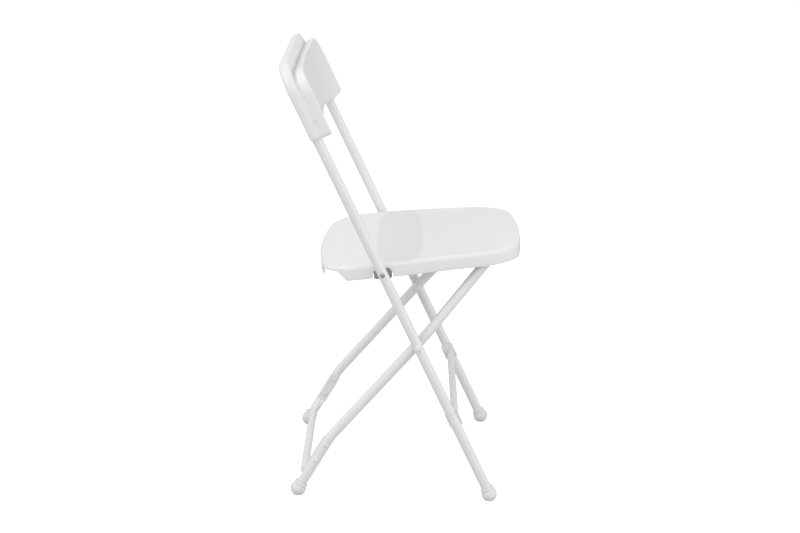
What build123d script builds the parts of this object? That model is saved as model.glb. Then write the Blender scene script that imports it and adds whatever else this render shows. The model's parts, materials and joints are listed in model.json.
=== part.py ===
from build123d import *
import math
import os

# White folding chair. Millimetres, +Z up, the sitter faces -Y and sits with the left hand at +X.
# Origin: centre of the footprint box, on the floor.
#
# Sizes in the side plane are measured along the straight uprights, from the point where an
# upright's axis meets the floor ("along"), and square to them towards the front ("ahead").

# ---- frame tubes ----
TUBE_D = 19.05
TUBE_WALL = 1.2
UPRIGHT_X = 205.0
UPRIGHT_LEAN = 25.2
UPRIGHT_BOTTOM = 6.0
UPRIGHT_TOP = 871.1
FLOOR_POINT_Y = -173.47

# ---- crossing pivot of the two leg frames ----
CROSS_ALONG = 339.6
CROSS_GAP = 2.4
PIN_D = 6.0
PIN_CLEARANCE = 0.05
CROSS_HEAD_D = 13.0
CROSS_HEAD_H = 4.0
CROSS_WASHER_D = 16.0

# ---- rear legs ----
LEG_X = UPRIGHT_X - TUBE_D - CROSS_GAP
LEG_ANGLE = 41.2
LEG_BEND_BELOW = 251.0
LEG_BEND_RADIUS = 150.0
LEG_FOOT_ANGLE = 30.5
LEG_TOE_IN_ABOVE = 22.0
LEG_TOE_IN_RADIUS = 90.0
LEG_UPPER_ANGLE = 40.2
LEG_END_PAST_ROD = 9.0

# ---- slide rod at the top of the rear legs ----
ROD_D = 10.0
ROD_X = 146.0
ROD_Z = 462.8
ROD_HEAD_D = 14.0
ROD_HEAD_H = 2.5
BUSH_D = 14.0
BUSH_LENGTH = 16.0

# ---- braces ----
FRONT_BRACE_D = 14.0
FRONT_BRACE_ALONG = 172.4
FRONT_BRACE_AHEAD = 1.1
BRACE_WALL = 1.2
FRONT_PAD_T = 1.8
FRONT_PAD_WIDTH = 25.0
FRONT_PAD_LENGTH = 32.0
FRONT_PAD_CORNER_R = 3.0
FRONT_PAD_RISE = 5.0
REAR_BRACE_D = 15.0
REAR_BRACE_ALONG = 41.75
REAR_BRACE_BEHIND = 4.0
REAR_BRACE_CORNER_X = 159.5
REAR_STRAP_T = 3.4
REAR_STRAP_WIDTH = 20.0
REAR_STRAP_START = 68.25
REAR_STRAP_END = 128.25
REAR_RIVETS_ALONG = (83.2, 120.2)
REAR_RIVET_D = 5.0
REAR_RIVET_HEAD_D = 9.5
REAR_RIVET_HEAD_H = 2.6

# ---- feet ----
FOOT_BALL_R = 14.8
FOOT_BALL_RISE = 12.0
FOOT_COLLAR_R = 12.6
FOOT_COLLAR_FROM = 21.0
FOOT_COLLAR_TO = 25.5
FOOT_SOCKET_FROM = 6.0

# ---- seat ----
HINGE_ALONG = 496.1
SEAT_TILT = 5.5
SEAT_HALF_WIDTH = 194.4
SEAT_FRONT_HALF_WIDTH = 167.0
SEAT_REAR = 124.0
SEAT_FRONT = 265.0
SEAT_REAR_BOW = 22.0
SEAT_FRONT_BOW = 24.0
SEAT_TAPER_FROM = 20.0
SEAT_REAR_CORNER_R = 52.0
SEAT_FRONT_CORNER_R = 58.0
SEAT_TOP = 17.6
SEAT_RIM = -10.4
SEAT_EDGE_R = 8.0
SEAT_SKIRT_WALL = 3.4
SEAT_UNDERSIDE = 11.6
SEAT_DISH_DEPTH = 3.0
SEAT_DISH_R = 140.0
SEAT_DISH_AHEAD = 75.0
RIB_T = 2.2
RIB_DEPTH = 8.0
RIB_XS = (-78.0, -39.0, 0.0, 39.0, 78.0)
RIB_YS = (70.0, -60.0, -110.0, -160.0)
RIB_REACH = 106.0
NOTCH_TOP = 9.0
NOTCH_INNER_X = 114.0
NOTCH_FRONT_LOW = 68.0
NOTCH_FRONT_HIGH = 86.0
NOTCH_ROUND = 7.0
HINGE_ARCH_R = 19.0
HINGE_ARCH_DROP = 8.0

# ---- seat hinge hardware ----
BRACKET_T = 2.5
BRACKET_OUTER_X = 190.2
BRACKET_WIDTH = 34.0
BRACKET_DROP = 13.5
BRACKET_CORNER_R = 5.0
BRACKET_FLANGE_INNER_X = 152.0
HINGE_HEAD_D = 9.0
HINGE_HEAD_H = 2.6
HINGE_WASHER_D = 15.0
SCREW_HEAD_D = 7.5
SCREW_HEAD_H = 2.2
SCREW_D = 3.6
SCREW_DEPTH = 3.6
CROSS_BAR_WIDTH = 18.0
CROSS_BAR_T = 2.5

# ---- slide tracks under the seat ----
TRACK_X = 122.0
TRACK_WEB_T = 3.0
TRACK_FLANGE_T = 2.0
TRACK_FLANGE_WIDTH = 14.0
TRACK_PAST_ROD = 12.0
TRACK_GAP = 0.4
TRACK_STOP_DROP = 9.0

# ---- folding travel ----
SEAT_FOLD = 90.0 + UPRIGHT_LEAN - SEAT_TILT
LEG_FOLD = 61.0

# ---- back panel ----
BACK_HALF_WIDTH = 218.5
BACK_TOP = 922.6
BACK_FRONT_TOP = 900.1
BACK_END_BOTTOM = 773.1
BACK_MID_BOTTOM = 790.1
BACK_END_WIDTH = 34.0
BACK_TOP_CORNER_R = 60.0
BACK_FRONT_CORNER_R = 44.0
BACK_LOW_CORNER_R = 9.0
BACK_REAR = -11.4
BACK_FRONT = 31.8
BACK_TOP_HOLLOW = 6.5
BACK_LOW_HOLLOW = 23.0
BACK_REAR_EDGE_R = 8.0
BACK_FRONT_EDGE_R = 3.0
BACK_WALL = 4.0
GROOVE_FROM = 9.0
GROOVE_TO = 14.0
GROOVE_DEPTH = 3.6
GROOVE_START = 837.1
BACK_SCREW_ALONG = 810.1
BACK_SCREW_AHEAD = 13.0
BACK_SCREW_HEAD_D = 6.0
BACK_SCREW_LENGTH = 8.0

SIDES = (("left", 1), ("right", -1))


# ---- places in the side plane ----

def direction(angle):
    """Unit vector in the side plane, angle degrees forward of straight up."""
    return Vector(0, -math.sin(math.radians(angle)), math.cos(math.radians(angle)))


UPRIGHT_DIR = direction(-UPRIGHT_LEAN)
AHEAD_DIR = direction(90 - UPRIGHT_LEAN)
FLOOR_POINT = Vector(0, FLOOR_POINT_Y, 0)
ACROSS = Vector(1, 0, 0)


def on_upright(x, along, ahead=0.0):
    """Point given along and ahead of the uprights."""
    return FLOOR_POINT + UPRIGHT_DIR * along + AHEAD_DIR * ahead + ACROSS * x


CROSS = on_upright(0, CROSS_ALONG)
HINGE = on_upright(0, HINGE_ALONG)

LEG_DIR = direction(LEG_ANGLE)
LEG_UPPER_DIR = direction(LEG_UPPER_ANGLE)
LEG_FOOT_DIR = direction(LEG_FOOT_ANGLE)
LEG_BEND = CROSS - LEG_DIR * LEG_BEND_BELOW
LEG_FLOOR = LEG_BEND - LEG_FOOT_DIR * (LEG_BEND.Z / LEG_FOOT_DIR.Z)
TOE_IN = CROSS + LEG_DIR * LEG_TOE_IN_ABOVE
ROD = TOE_IN + LEG_UPPER_DIR * ((ROD_Z - TOE_IN.Z) / LEG_UPPER_DIR.Z)

SEAT_PLANE = Plane(origin=HINGE, x_dir=(1, 0, 0), z_dir=direction(-SEAT_TILT))
BACK_PLANE = Plane(origin=FLOOR_POINT, x_dir=(1, 0, 0), z_dir=AHEAD_DIR)
FOOT_DIR_REAR_NORMAL = direction(LEG_FOOT_ANGLE - 90)


def on_rear_foot(x, along, behind=0.0):
    """Point given along the lower straight of the rear legs, and behind it."""
    return LEG_FLOOR + LEG_FOOT_DIR * along + FOOT_DIR_REAR_NORMAL * behind + ACROSS * x


# ---- helpers ----

def rod_between(start, end, radius):
    """Straight cylinder from one point to another."""
    axis = end - start
    plane = Plane(origin=start, z_dir=axis)
    return extrude(plane * Circle(radius), axis.length)


def swept_tube(points, radii, outer, inner):
    """Hollow tube along straight runs joined by arcs."""
    path = FilletPolyline(*points, radius=radii)
    section = Plane(origin=points[0], z_dir=points[1] - points[0])
    solid = sweep(section * Circle(outer), path=path)
    return solid - sweep(section * Circle(inner), path=path)


def rivet(x_outer, x_inner, place, shank_d, head_d, head_h):
    """Rivet along X between two outer faces, with a domed head on each."""
    length = abs(x_outer - x_inner)
    shank_r = shank_d / 2
    head_r = head_d / 2
    dome_r = (head_r ** 2 + head_h ** 2) / (2 * head_h)
    half_angle = math.asin(head_r / dome_r) / 2
    mid_r = dome_r * math.sin(half_angle)
    mid_h = head_h - dome_r * (1 - math.cos(half_angle))
    profile = [
        Line((0, -head_h), (0, length + head_h)),
        ThreePointArc((0, length + head_h), (mid_r, length + mid_h), (head_r, length)),
        Polyline((head_r, length), (shank_r, length), (shank_r, 0), (head_r, 0)),
        ThreePointArc((head_r, 0), (mid_r, -mid_h), (0, -head_h)),
    ]
    solid = revolve(Plane.XZ * make_face(profile), Axis.Z)
    start = Vector(min(x_outer, x_inner), place.Y, place.Z)
    return Plane(origin=start, z_dir=(1, 0, 0)) * solid


def washer(x_from, x_to, place, outer_d, inner_d):
    """Flat ring round an axis along X."""
    start = Vector(x_from, place.Y, place.Z)
    end = Vector(x_to, place.Y, place.Z)
    return rod_between(start, end, outer_d / 2) - rod_between(start, end, inner_d / 2)


def cross_hole(x, place, diameter):
    """Cutter along X through a tube at x."""
    reach = TUBE_D
    return rod_between(Vector(x - reach, place.Y, place.Z), Vector(x + reach, place.Y, place.Z), diameter / 2)


def write(name, solid, color):
    """Writes one node's STEP file."""
    solid.label = name
    solid.color = Color(color)
    export_step(solid, f"parts/{name}.step")


# ---- upright frame: the fixed body ----

def upright_tube(side):
    """Front leg and back post in one straight tube."""
    x = side * UPRIGHT_X
    start = on_upright(x, UPRIGHT_BOTTOM)
    end = on_upright(x, UPRIGHT_TOP)
    tube = rod_between(start, end, TUBE_D / 2)
    tube -= rod_between(start, end, TUBE_D / 2 - TUBE_WALL)
    tube -= cross_hole(x, CROSS, PIN_D)
    tube -= cross_hole(x, HINGE, PIN_D)
    return tube


def front_brace():
    """Round tube between the front legs, its ends flattened into pads on their inner faces."""
    inner_face = UPRIGHT_X - TUBE_D / 2
    start = on_upright(-inner_face + FRONT_PAD_T, FRONT_BRACE_ALONG, FRONT_BRACE_AHEAD)
    end = on_upright(inner_face - FRONT_PAD_T, FRONT_BRACE_ALONG, FRONT_BRACE_AHEAD)
    solid = rod_between(start, end, FRONT_BRACE_D / 2)
    solid -= rod_between(start, end, FRONT_BRACE_D / 2 - BRACE_WALL)
    for _, side in SIDES:
        corner = on_upright(side * (inner_face - FRONT_PAD_T), FRONT_BRACE_ALONG + FRONT_PAD_RISE)
        plane = Plane(origin=corner, x_dir=UPRIGHT_DIR, z_dir=ACROSS * side)
        pad = plane * RectangleRounded(FRONT_PAD_LENGTH, FRONT_PAD_WIDTH, FRONT_PAD_CORNER_R)
        solid += extrude(pad, FRONT_PAD_T)
    return solid


def foot(floor_point, tube_dir, x):
    """Ball-shaped cap with a collar, standing on a flat, bored for its tube."""
    centre = floor_point + tube_dir * (FOOT_BALL_RISE / tube_dir.Z) + ACROSS * x
    base = floor_point + ACROSS * x
    solid = Pos(*centre) * Sphere(FOOT_BALL_R)
    solid += rod_between(base + tube_dir * FOOT_BALL_RISE, base + tube_dir * FOOT_COLLAR_FROM, FOOT_COLLAR_R - 1)
    solid += rod_between(base + tube_dir * FOOT_COLLAR_FROM, base + tube_dir * FOOT_COLLAR_TO, FOOT_COLLAR_R)
    below = Pos(base.X, base.Y, -FOOT_BALL_R) * Box(4 * FOOT_BALL_R, 4 * FOOT_BALL_R, 2 * FOOT_BALL_R)
    above = base + tube_dir * FOOT_COLLAR_TO
    top = Plane(origin=above, z_dir=tube_dir)
    over = extrude(top * Rectangle(4 * FOOT_BALL_R, 4 * FOOT_BALL_R), 2 * FOOT_BALL_R)
    socket = rod_between(base + tube_dir * FOOT_SOCKET_FROM, above + tube_dir, TUBE_D / 2)
    return solid - below - over - socket


def cross_rivet(side):
    """Rivet through an upright, its spacer and a rear leg."""
    outer = side * (UPRIGHT_X + TUBE_D / 2)
    inner = side * (LEG_X - TUBE_D / 2)
    return rivet(outer, inner, CROSS, PIN_D, CROSS_HEAD_D, CROSS_HEAD_H)


def cross_washer(side):
    """Nylon spacer between an upright and a rear leg."""
    outer = side * (UPRIGHT_X - TUBE_D / 2)
    inner = side * (LEG_X + TUBE_D / 2 + PIN_CLEARANCE)
    return washer(inner, outer, CROSS, CROSS_WASHER_D, PIN_D)


def hinge_rivet(side):
    """Rivet on which the seat turns."""
    outer = side * (UPRIGHT_X + TUBE_D / 2)
    inner = side * (BRACKET_OUTER_X - BRACKET_T - PIN_CLEARANCE)
    return rivet(outer, inner, HINGE, PIN_D, HINGE_HEAD_D, HINGE_HEAD_H)


def hinge_washer(side):
    """Spacer between an upright and the seat's bracket."""
    outer = side * (UPRIGHT_X - TUBE_D / 2)
    inner = side * (BRACKET_OUTER_X + PIN_CLEARANCE)
    return washer(inner, outer, HINGE, HINGE_WASHER_D, PIN_D)


def back_outline(top, corner_r, inset=0.0):
    """Front view of a layer of the back panel: big top corners, ends lower than the arched middle."""
    inner_x = BACK_HALF_WIDTH - BACK_END_WIDTH
    with BuildSketch() as sketch:
        with BuildLine():
            Polyline(
                (-inner_x, BACK_END_BOTTOM),
                (-BACK_HALF_WIDTH, BACK_END_BOTTOM),
                (-BACK_HALF_WIDTH, top),
                (BACK_HALF_WIDTH, top),
                (BACK_HALF_WIDTH, BACK_END_BOTTOM),
                (inner_x, BACK_END_BOTTOM),
            )
            ThreePointArc((inner_x, BACK_END_BOTTOM), (0, BACK_MID_BOTTOM), (-inner_x, BACK_END_BOTTOM))
        make_face()
        fillet(sketch.vertices().filter_by(lambda v: v.Y > top - 1), corner_r)
        low = sketch.vertices().filter_by(lambda v: abs(v.Y - BACK_END_BOTTOM) < 1)
        fillet(low.filter_by(lambda v: abs(v.X) > BACK_HALF_WIDTH - 1), BACK_LOW_CORNER_R)
    if inset == 0:
        return sketch.sketch
    return offset(sketch.sketch, amount=-inset)


def hollow_depth(along):
    """Depth of the front face's hollow at a height: deep at the lower edge, shallow at the top."""
    share = (along - BACK_END_BOTTOM) / (BACK_FRONT_TOP - BACK_END_BOTTOM)
    return BACK_LOW_HOLLOW + (BACK_TOP_HOLLOW - BACK_LOW_HOLLOW) * share


def hollow_section(along, front):
    """Region ahead of the hollow front face, across the panel at one height."""
    depth = hollow_depth(along)
    reach = 1.1 * BACK_HALF_WIDTH
    edge = front - depth * (1 - (reach / BACK_HALF_WIDTH) ** 2)
    far = front + BACK_HALF_WIDTH
    lines = [
        ThreePointArc((-reach, -edge), (0, depth - front), (reach, -edge)),
        Polyline((reach, -edge), (reach, -far), (-reach, -far), (-reach, -edge)),
    ]
    plane = Plane(origin=(0, along, 0), x_dir=(1, 0, 0), z_dir=(0, 1, 0))
    return (plane * make_face(lines)).faces()[0]


def hollow_cutter(front):
    """Cutter, in the panel's own frame, that leaves a hollow front face."""
    low = BACK_END_BOTTOM - BACK_TOP_CORNER_R / 2
    high = BACK_TOP + BACK_LOW_CORNER_R
    return loft([hollow_section(low, front), hollow_section(high, front)], ruled=True)


def back_rear_layer():
    """Rear shell with rounded outer edges, in the panel's own frame."""
    outline = back_outline(BACK_TOP, BACK_TOP_CORNER_R)
    layer = Pos(0, 0, BACK_REAR) * extrude(outline, GROOVE_FROM - BACK_REAR)
    rear_edges = layer.edges().filter_by(lambda e: abs(e.center().Z - BACK_REAR) < 0.01)
    return fillet(rear_edges, BACK_REAR_EDGE_R)


def back_front_layer():
    """Front shell, square-edged, in the panel's own frame."""
    outline = back_outline(BACK_FRONT_TOP, BACK_FRONT_CORNER_R)
    return Pos(0, 0, GROOVE_TO) * extrude(outline, BACK_FRONT - GROOVE_TO)


def back_core():
    """Web between the two shells: set in along the groove, flush with the sides below it."""
    thickness = GROOVE_TO - GROOVE_FROM + 1
    inner = extrude(back_outline(BACK_FRONT_TOP, BACK_FRONT_CORNER_R, GROOVE_DEPTH), thickness)
    low_part = Pos(0, GROOVE_START - BACK_TOP) * Rectangle(3 * BACK_HALF_WIDTH, 2 * BACK_TOP)
    flush = extrude(back_outline(BACK_FRONT_TOP, BACK_FRONT_CORNER_R) & low_part, thickness)
    return Pos(0, 0, GROOVE_FROM - 0.5) * (inner + flush)


def back_cavity():
    """Sealed hollow between the walls."""
    width = 2 * (UPRIGHT_X - TUBE_D / 2 - BACK_WALL)
    low = BACK_MID_BOTTOM + BACK_WALL
    high = BACK_FRONT_TOP - GROOVE_DEPTH - BACK_WALL
    rear = BACK_REAR + BACK_WALL
    box = Pos(0, (low + high) / 2, rear + BACK_FRONT / 2) * Box(width, high - low, BACK_FRONT)
    return box - hollow_cutter(BACK_FRONT - BACK_WALL)


def back_panel():
    """Moulded double-walled panel that sleeves the tops of both uprights."""
    block = back_rear_layer() + back_front_layer() + back_core() - hollow_cutter(BACK_FRONT)
    side_edges = block.edges().filter_by(
        lambda e: abs(e.center().X) > BACK_HALF_WIDTH - 1 and e.center().Z > BACK_FRONT - 1
    )
    block = fillet(side_edges, BACK_FRONT_EDGE_R)
    panel = BACK_PLANE * (block - back_cavity())
    for _, side in SIDES:
        start = on_upright(side * UPRIGHT_X, BACK_END_BOTTOM - BACK_LOW_CORNER_R)
        panel -= rod_between(start, on_upright(side * UPRIGHT_X, UPRIGHT_TOP), TUBE_D / 2)
        panel -= back_screw(side)
    return panel


def back_screw(side):
    """Screw let into each end of the back panel."""
    outer = on_upright(side * BACK_HALF_WIDTH, BACK_SCREW_ALONG, BACK_SCREW_AHEAD)
    inner = on_upright(side * (BACK_HALF_WIDTH - BACK_SCREW_LENGTH), BACK_SCREW_ALONG, BACK_SCREW_AHEAD)
    return rod_between(inner, outer, BACK_SCREW_HEAD_D / 2)


# ---- rear leg frame: turns on the crossing rivets ----

def leg_points(side, past_rod):
    """Corners of a rear leg's axis, from the foot up to just past the slide rod."""
    upper = Vector(side * ROD_X, ROD.Y, ROD.Z) - (TOE_IN + ACROSS * (side * LEG_X))
    return [
        on_rear_foot(side * LEG_X, FOOT_SOCKET_FROM),
        LEG_BEND + ACROSS * (side * LEG_X),
        TOE_IN + ACROSS * (side * LEG_X),
        Vector(side * ROD_X, ROD.Y, ROD.Z) + upper.normalized() * past_rod,
    ]


def rear_leg(side):
    """Bent tube: lower foot part, straight past the crossing, then toed in under the seat."""
    points = leg_points(side, LEG_END_PAST_ROD)
    radii = [LEG_BEND_RADIUS, LEG_TOE_IN_RADIUS]
    tube = swept_tube(points, radii, TUBE_D / 2, TUBE_D / 2 - TUBE_WALL)
    tube -= cross_hole(side * LEG_X, CROSS, PIN_D + 2 * PIN_CLEARANCE)
    tube -= cross_hole(side * ROD_X, ROD, ROD_D)
    for along in REAR_RIVETS_ALONG:
        tube -= cross_hole(side * LEG_X, on_rear_foot(0, along), REAR_RIVET_D)
    return tube


def slide_rod():
    """Cross rod through the tops of the rear legs, peened over at both ends."""
    reach = ROD_X + TUBE_D / 2 + 1.5
    return rivet(reach, -reach, ROD, ROD_D, ROD_HEAD_D, ROD_HEAD_H)


def slide_bush(side):
    """Nylon bush on the rod that bears on a track."""
    half = BUSH_LENGTH / 2
    return washer(side * TRACK_X - half, side * TRACK_X + half, ROD, BUSH_D, ROD_D)


def rear_brace():
    """Round tube low between the rear legs, its ends turned up and flattened along the legs."""
    strap_x = LEG_X - TUBE_D / 2 - REAR_STRAP_T
    middle = on_rear_foot(0, REAR_BRACE_ALONG, REAR_BRACE_BEHIND)
    solid = None
    for _, side in SIDES:
        corner = middle + ACROSS * (side * REAR_BRACE_CORNER_X)
        strap_mid_x = side * (strap_x + REAR_STRAP_T / 2)
        strap_start = on_rear_foot(strap_mid_x, REAR_STRAP_START)
        turn = (strap_start - corner).normalized()
        rise_end = corner + turn * REAR_BRACE_D * 1.1
        path = FilletPolyline(middle, corner, rise_end, radius=REAR_BRACE_D * 0.75)
        section = Plane(origin=middle, z_dir=ACROSS * side)
        half = sweep(section * Circle(REAR_BRACE_D / 2), path=path)
        round_end = Plane(origin=rise_end, x_dir=ACROSS, z_dir=turn) * Circle(REAR_BRACE_D / 2)
        flat_plane = Plane(origin=strap_start, x_dir=ACROSS, z_dir=LEG_FOOT_DIR)
        flat_end = flat_plane * RectangleRounded(REAR_STRAP_T, REAR_STRAP_WIDTH, REAR_STRAP_T / 2 - 0.05)
        half += loft([round_end.faces()[0], flat_end.faces()[0]])
        half += extrude(flat_end, REAR_STRAP_END - REAR_STRAP_START)
        solid = half if solid is None else solid + half
    for _, side in SIDES:
        for along in REAR_RIVETS_ALONG:
            place = on_rear_foot(0, along)
            solid -= cross_hole(side * (LEG_X - TUBE_D / 2), place, REAR_RIVET_D)
    bore = rod_between(
        middle - ACROSS * (REAR_BRACE_CORNER_X - REAR_BRACE_D),
        middle + ACROSS * (REAR_BRACE_CORNER_X - REAR_BRACE_D),
        REAR_BRACE_D / 2 - BRACE_WALL,
    )
    return solid - bore


def rear_rivet(side, along):
    """Rivet through a rear leg and the strap of the rear brace."""
    outer = side * (LEG_X + TUBE_D / 2)
    inner = side * (LEG_X - TUBE_D / 2 - REAR_STRAP_T)
    return rivet(outer, inner, on_rear_foot(0, along), REAR_RIVET_D, REAR_RIVET_HEAD_D, REAR_RIVET_HEAD_H)


# ---- seat: turns on the hinge rivets. Its own frame is x across, y rearward, z up ----

def seat_outline(inset):
    """Plan of the seat, drawn in by inset."""
    half = SEAT_HALF_WIDTH
    front_half = SEAT_FRONT_HALF_WIDTH
    rear_side = SEAT_REAR - SEAT_REAR_BOW
    front_side = -SEAT_FRONT + SEAT_FRONT_BOW
    with BuildSketch() as sketch:
        with BuildLine():
            ThreePointArc((-half, rear_side), (0, SEAT_REAR), (half, rear_side))
            Polyline((half, rear_side), (half, -SEAT_TAPER_FROM), (front_half, front_side))
            ThreePointArc((front_half, front_side), (0, -SEAT_FRONT), (-front_half, front_side))
            Polyline((-front_half, front_side), (-half, -SEAT_TAPER_FROM), (-half, rear_side))
        make_face()
        fillet(sketch.vertices().filter_by(lambda v: v.Y > 0), SEAT_REAR_CORNER_R)
        fillet(sketch.vertices().filter_by(lambda v: v.Y < front_side + 1), SEAT_FRONT_CORNER_R)
    if inset == 0:
        return sketch.sketch
    return offset(sketch.sketch, amount=-inset)


def seat_shell():
    """Dished top plate with a skirt all round, open below, in the seat's own frame."""
    block = Pos(0, 0, SEAT_RIM) * extrude(seat_outline(0), SEAT_TOP - SEAT_RIM)
    top_edges = block.edges().filter_by(lambda e: abs(e.center().Z - SEAT_TOP) < 0.01)
    block = fillet(top_edges, SEAT_EDGE_R)
    pocket = extrude(seat_outline(SEAT_SKIRT_WALL), SEAT_UNDERSIDE - SEAT_RIM)
    block -= Pos(0, 0, SEAT_RIM) * pocket
    dish_sphere = (SEAT_DISH_R ** 2 + SEAT_DISH_DEPTH ** 2) / (2 * SEAT_DISH_DEPTH)
    dish_z = SEAT_TOP - SEAT_DISH_DEPTH + dish_sphere
    return block - Pos(0, -SEAT_DISH_AHEAD, dish_z) * Sphere(dish_sphere)


def seat_ribs():
    """Stiffening ribs under the plate, clear of the slide rod."""
    low = SEAT_UNDERSIDE - RIB_DEPTH
    inside = Pos(0, 0, low) * extrude(seat_outline(SEAT_SKIRT_WALL / 2), SEAT_UNDERSIDE + 1 - low)
    ribs = Part()
    length = 2 * SEAT_FRONT
    mid_z = SEAT_UNDERSIDE - RIB_DEPTH / 2 + 0.5
    for x in RIB_XS:
        ribs += Pos(x, -SEAT_FRONT / 2, mid_z) * Box(RIB_T, length, RIB_DEPTH + 1)
    for y in RIB_YS:
        ribs += Pos(0, y, mid_z) * Box(2 * RIB_REACH, RIB_T, RIB_DEPTH + 1)
    bar_room = Pos(0, 0, SEAT_UNDERSIDE - RIB_DEPTH) * Box(
        2 * BRACKET_FLANGE_INNER_X, CROSS_BAR_WIDTH + 2 * RIB_T, 2 * RIB_DEPTH
    )
    return (ribs - bar_room) & inside


def notch_cutter(side):
    """Opening in the skirt at a rear corner, through which the folded rear leg passes."""
    low = SEAT_RIM - 1
    rear = SEAT_REAR + 5
    profile = Polyline(
        (NOTCH_FRONT_LOW, low), (NOTCH_FRONT_HIGH, NOTCH_TOP), (rear, NOTCH_TOP), (rear, low), close=True
    )
    plane = Plane(origin=(NOTCH_INNER_X, 0, 0), x_dir=(0, 1, 0), z_dir=(1, 0, 0))
    cutter = extrude(plane * make_face(profile), SEAT_HALF_WIDTH + 5 - NOTCH_INNER_X)
    round_edges = cutter.edges().filter_by(Axis.X).filter_by(
        lambda e: abs(e.center().Z - NOTCH_TOP) < 0.1 and e.center().Y < NOTCH_FRONT_HIGH + 1
    )
    cutter = fillet(round_edges, NOTCH_ROUND)
    inner_edges = cutter.edges().filter_by(Axis.Y).filter_by(
        lambda e: abs(e.center().Z - NOTCH_TOP) < 0.1 and e.center().X < NOTCH_INNER_X + 1
    )
    cutter = fillet(inner_edges, NOTCH_ROUND)
    return cutter if side > 0 else mirror(cutter, about=Plane.YZ)


def seat_panel():
    """Moulded plastic seat."""
    shell = seat_shell() + seat_ribs()
    arch_length = 2 * SEAT_HALF_WIDTH + 20
    arch = Pos(0, 0, -HINGE_ARCH_DROP) * Rot(0, 90, 0) * Cylinder(HINGE_ARCH_R, arch_length)
    middle = Box(2 * (SEAT_HALF_WIDTH - 2 * SEAT_SKIRT_WALL), 4 * HINGE_ARCH_R, 4 * HINGE_ARCH_R)
    shell -= arch - middle
    for _, side in SIDES:
        shell -= notch_cutter(side)
    for x, y in screw_places():
        shell -= Pos(x, y, SEAT_UNDERSIDE) * Cylinder(SCREW_D / 2, 2 * SCREW_DEPTH)
    return SEAT_PLANE * shell


def hinge_bracket(side):
    """Steel angle: an ear on the hinge rivet and a flange screwed up under the seat."""
    ear_x = BRACKET_OUTER_X - BRACKET_T / 2
    top = SEAT_UNDERSIDE
    height = top + BRACKET_DROP
    ear = Pos(ear_x, 0, top - height / 2) * Box(BRACKET_T, BRACKET_WIDTH, height)
    low_edges = ear.edges().filter_by(Axis.X).filter_by(lambda e: e.center().Z < 0)
    ear = fillet(low_edges, BRACKET_CORNER_R)
    flange_w = BRACKET_OUTER_X - BRACKET_FLANGE_INNER_X
    flange = Pos(BRACKET_OUTER_X - flange_w / 2, 0, top - BRACKET_T / 2) * Box(flange_w, BRACKET_WIDTH, BRACKET_T)
    solid = ear + flange
    solid -= Pos(ear_x, 0, 0) * Rot(0, 90, 0) * Cylinder(PIN_D / 2 + PIN_CLEARANCE, 3 * BRACKET_T)
    for x, y in bracket_screw_places(1):
        solid -= Pos(x, y, top) * Cylinder(SCREW_D / 2, 4 * BRACKET_T)
    if side < 0:
        solid = mirror(solid, about=Plane.YZ)
    return SEAT_PLANE * solid


def bracket_screw_places(side):
    """The two screws of a hinge bracket."""
    x = side * (BRACKET_FLANGE_INNER_X + 20)
    reach = BRACKET_WIDTH / 2 - 7
    return [(x, reach), (x, -reach)]


def cross_bar_screw_places():
    """The two screws of the cross bar."""
    x = BRACKET_FLANGE_INNER_X - 14
    return [(-x, 0), (x, 0)]


def rod_in_seat():
    """Slide rod's place in the seat's own frame, as (y, z)."""
    local = SEAT_PLANE.to_local_coords(ROD)
    return local.Y, local.Z


def rod_folded_in_seat():
    """Slide rod's place in the seat's own frame when the chair is folded, as (y, z)."""
    folded = (ROD - CROSS).rotate(Axis.X, -LEG_FOLD) + CROSS
    local = SEAT_PLANE.to_local_coords((folded - HINGE).rotate(Axis.X, SEAT_FOLD) + HINGE)
    return local.Y, local.Z


def track_screw_places(side):
    """The two screws of a slide track."""
    open_y, _ = rod_in_seat()
    folded_y, _ = rod_folded_in_seat()
    x = side * (TRACK_X + TRACK_WEB_T)
    return [(x, open_y + 30), (x, folded_y - 20)]


def screw_places():
    """Every screw under the seat."""
    places = cross_bar_screw_places()
    for _, side in SIDES:
        places += bracket_screw_places(side) + track_screw_places(side)
    return places


def seat_screw(x, y, plate):
    """Pan-head screw driven up through a plate of the given thickness into the seat."""
    head_z = SEAT_UNDERSIDE - plate
    head = Pos(x, y, head_z - SCREW_HEAD_H / 2) * Cylinder(SCREW_HEAD_D / 2, SCREW_HEAD_H)
    head = fillet(head.edges().sort_by(Axis.Z)[0], SCREW_HEAD_H / 2)
    length = plate + SCREW_DEPTH
    shank = Pos(x, y, head_z + length / 2) * Cylinder(SCREW_D / 2, length)
    return SEAT_PLANE * (head + shank)


def seat_cross_bar():
    """Flat steel bar that ties the two hinge brackets under the seat."""
    length = 2 * BRACKET_FLANGE_INNER_X - 0.4
    z = SEAT_UNDERSIDE - CROSS_BAR_T / 2
    bar = Pos(0, 0, z) * Box(length, CROSS_BAR_WIDTH, CROSS_BAR_T)
    for x, y in cross_bar_screw_places():
        bar -= Pos(x, y, z) * Cylinder(SCREW_D / 2, 2 * CROSS_BAR_T)
    return SEAT_PLANE * bar


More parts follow.
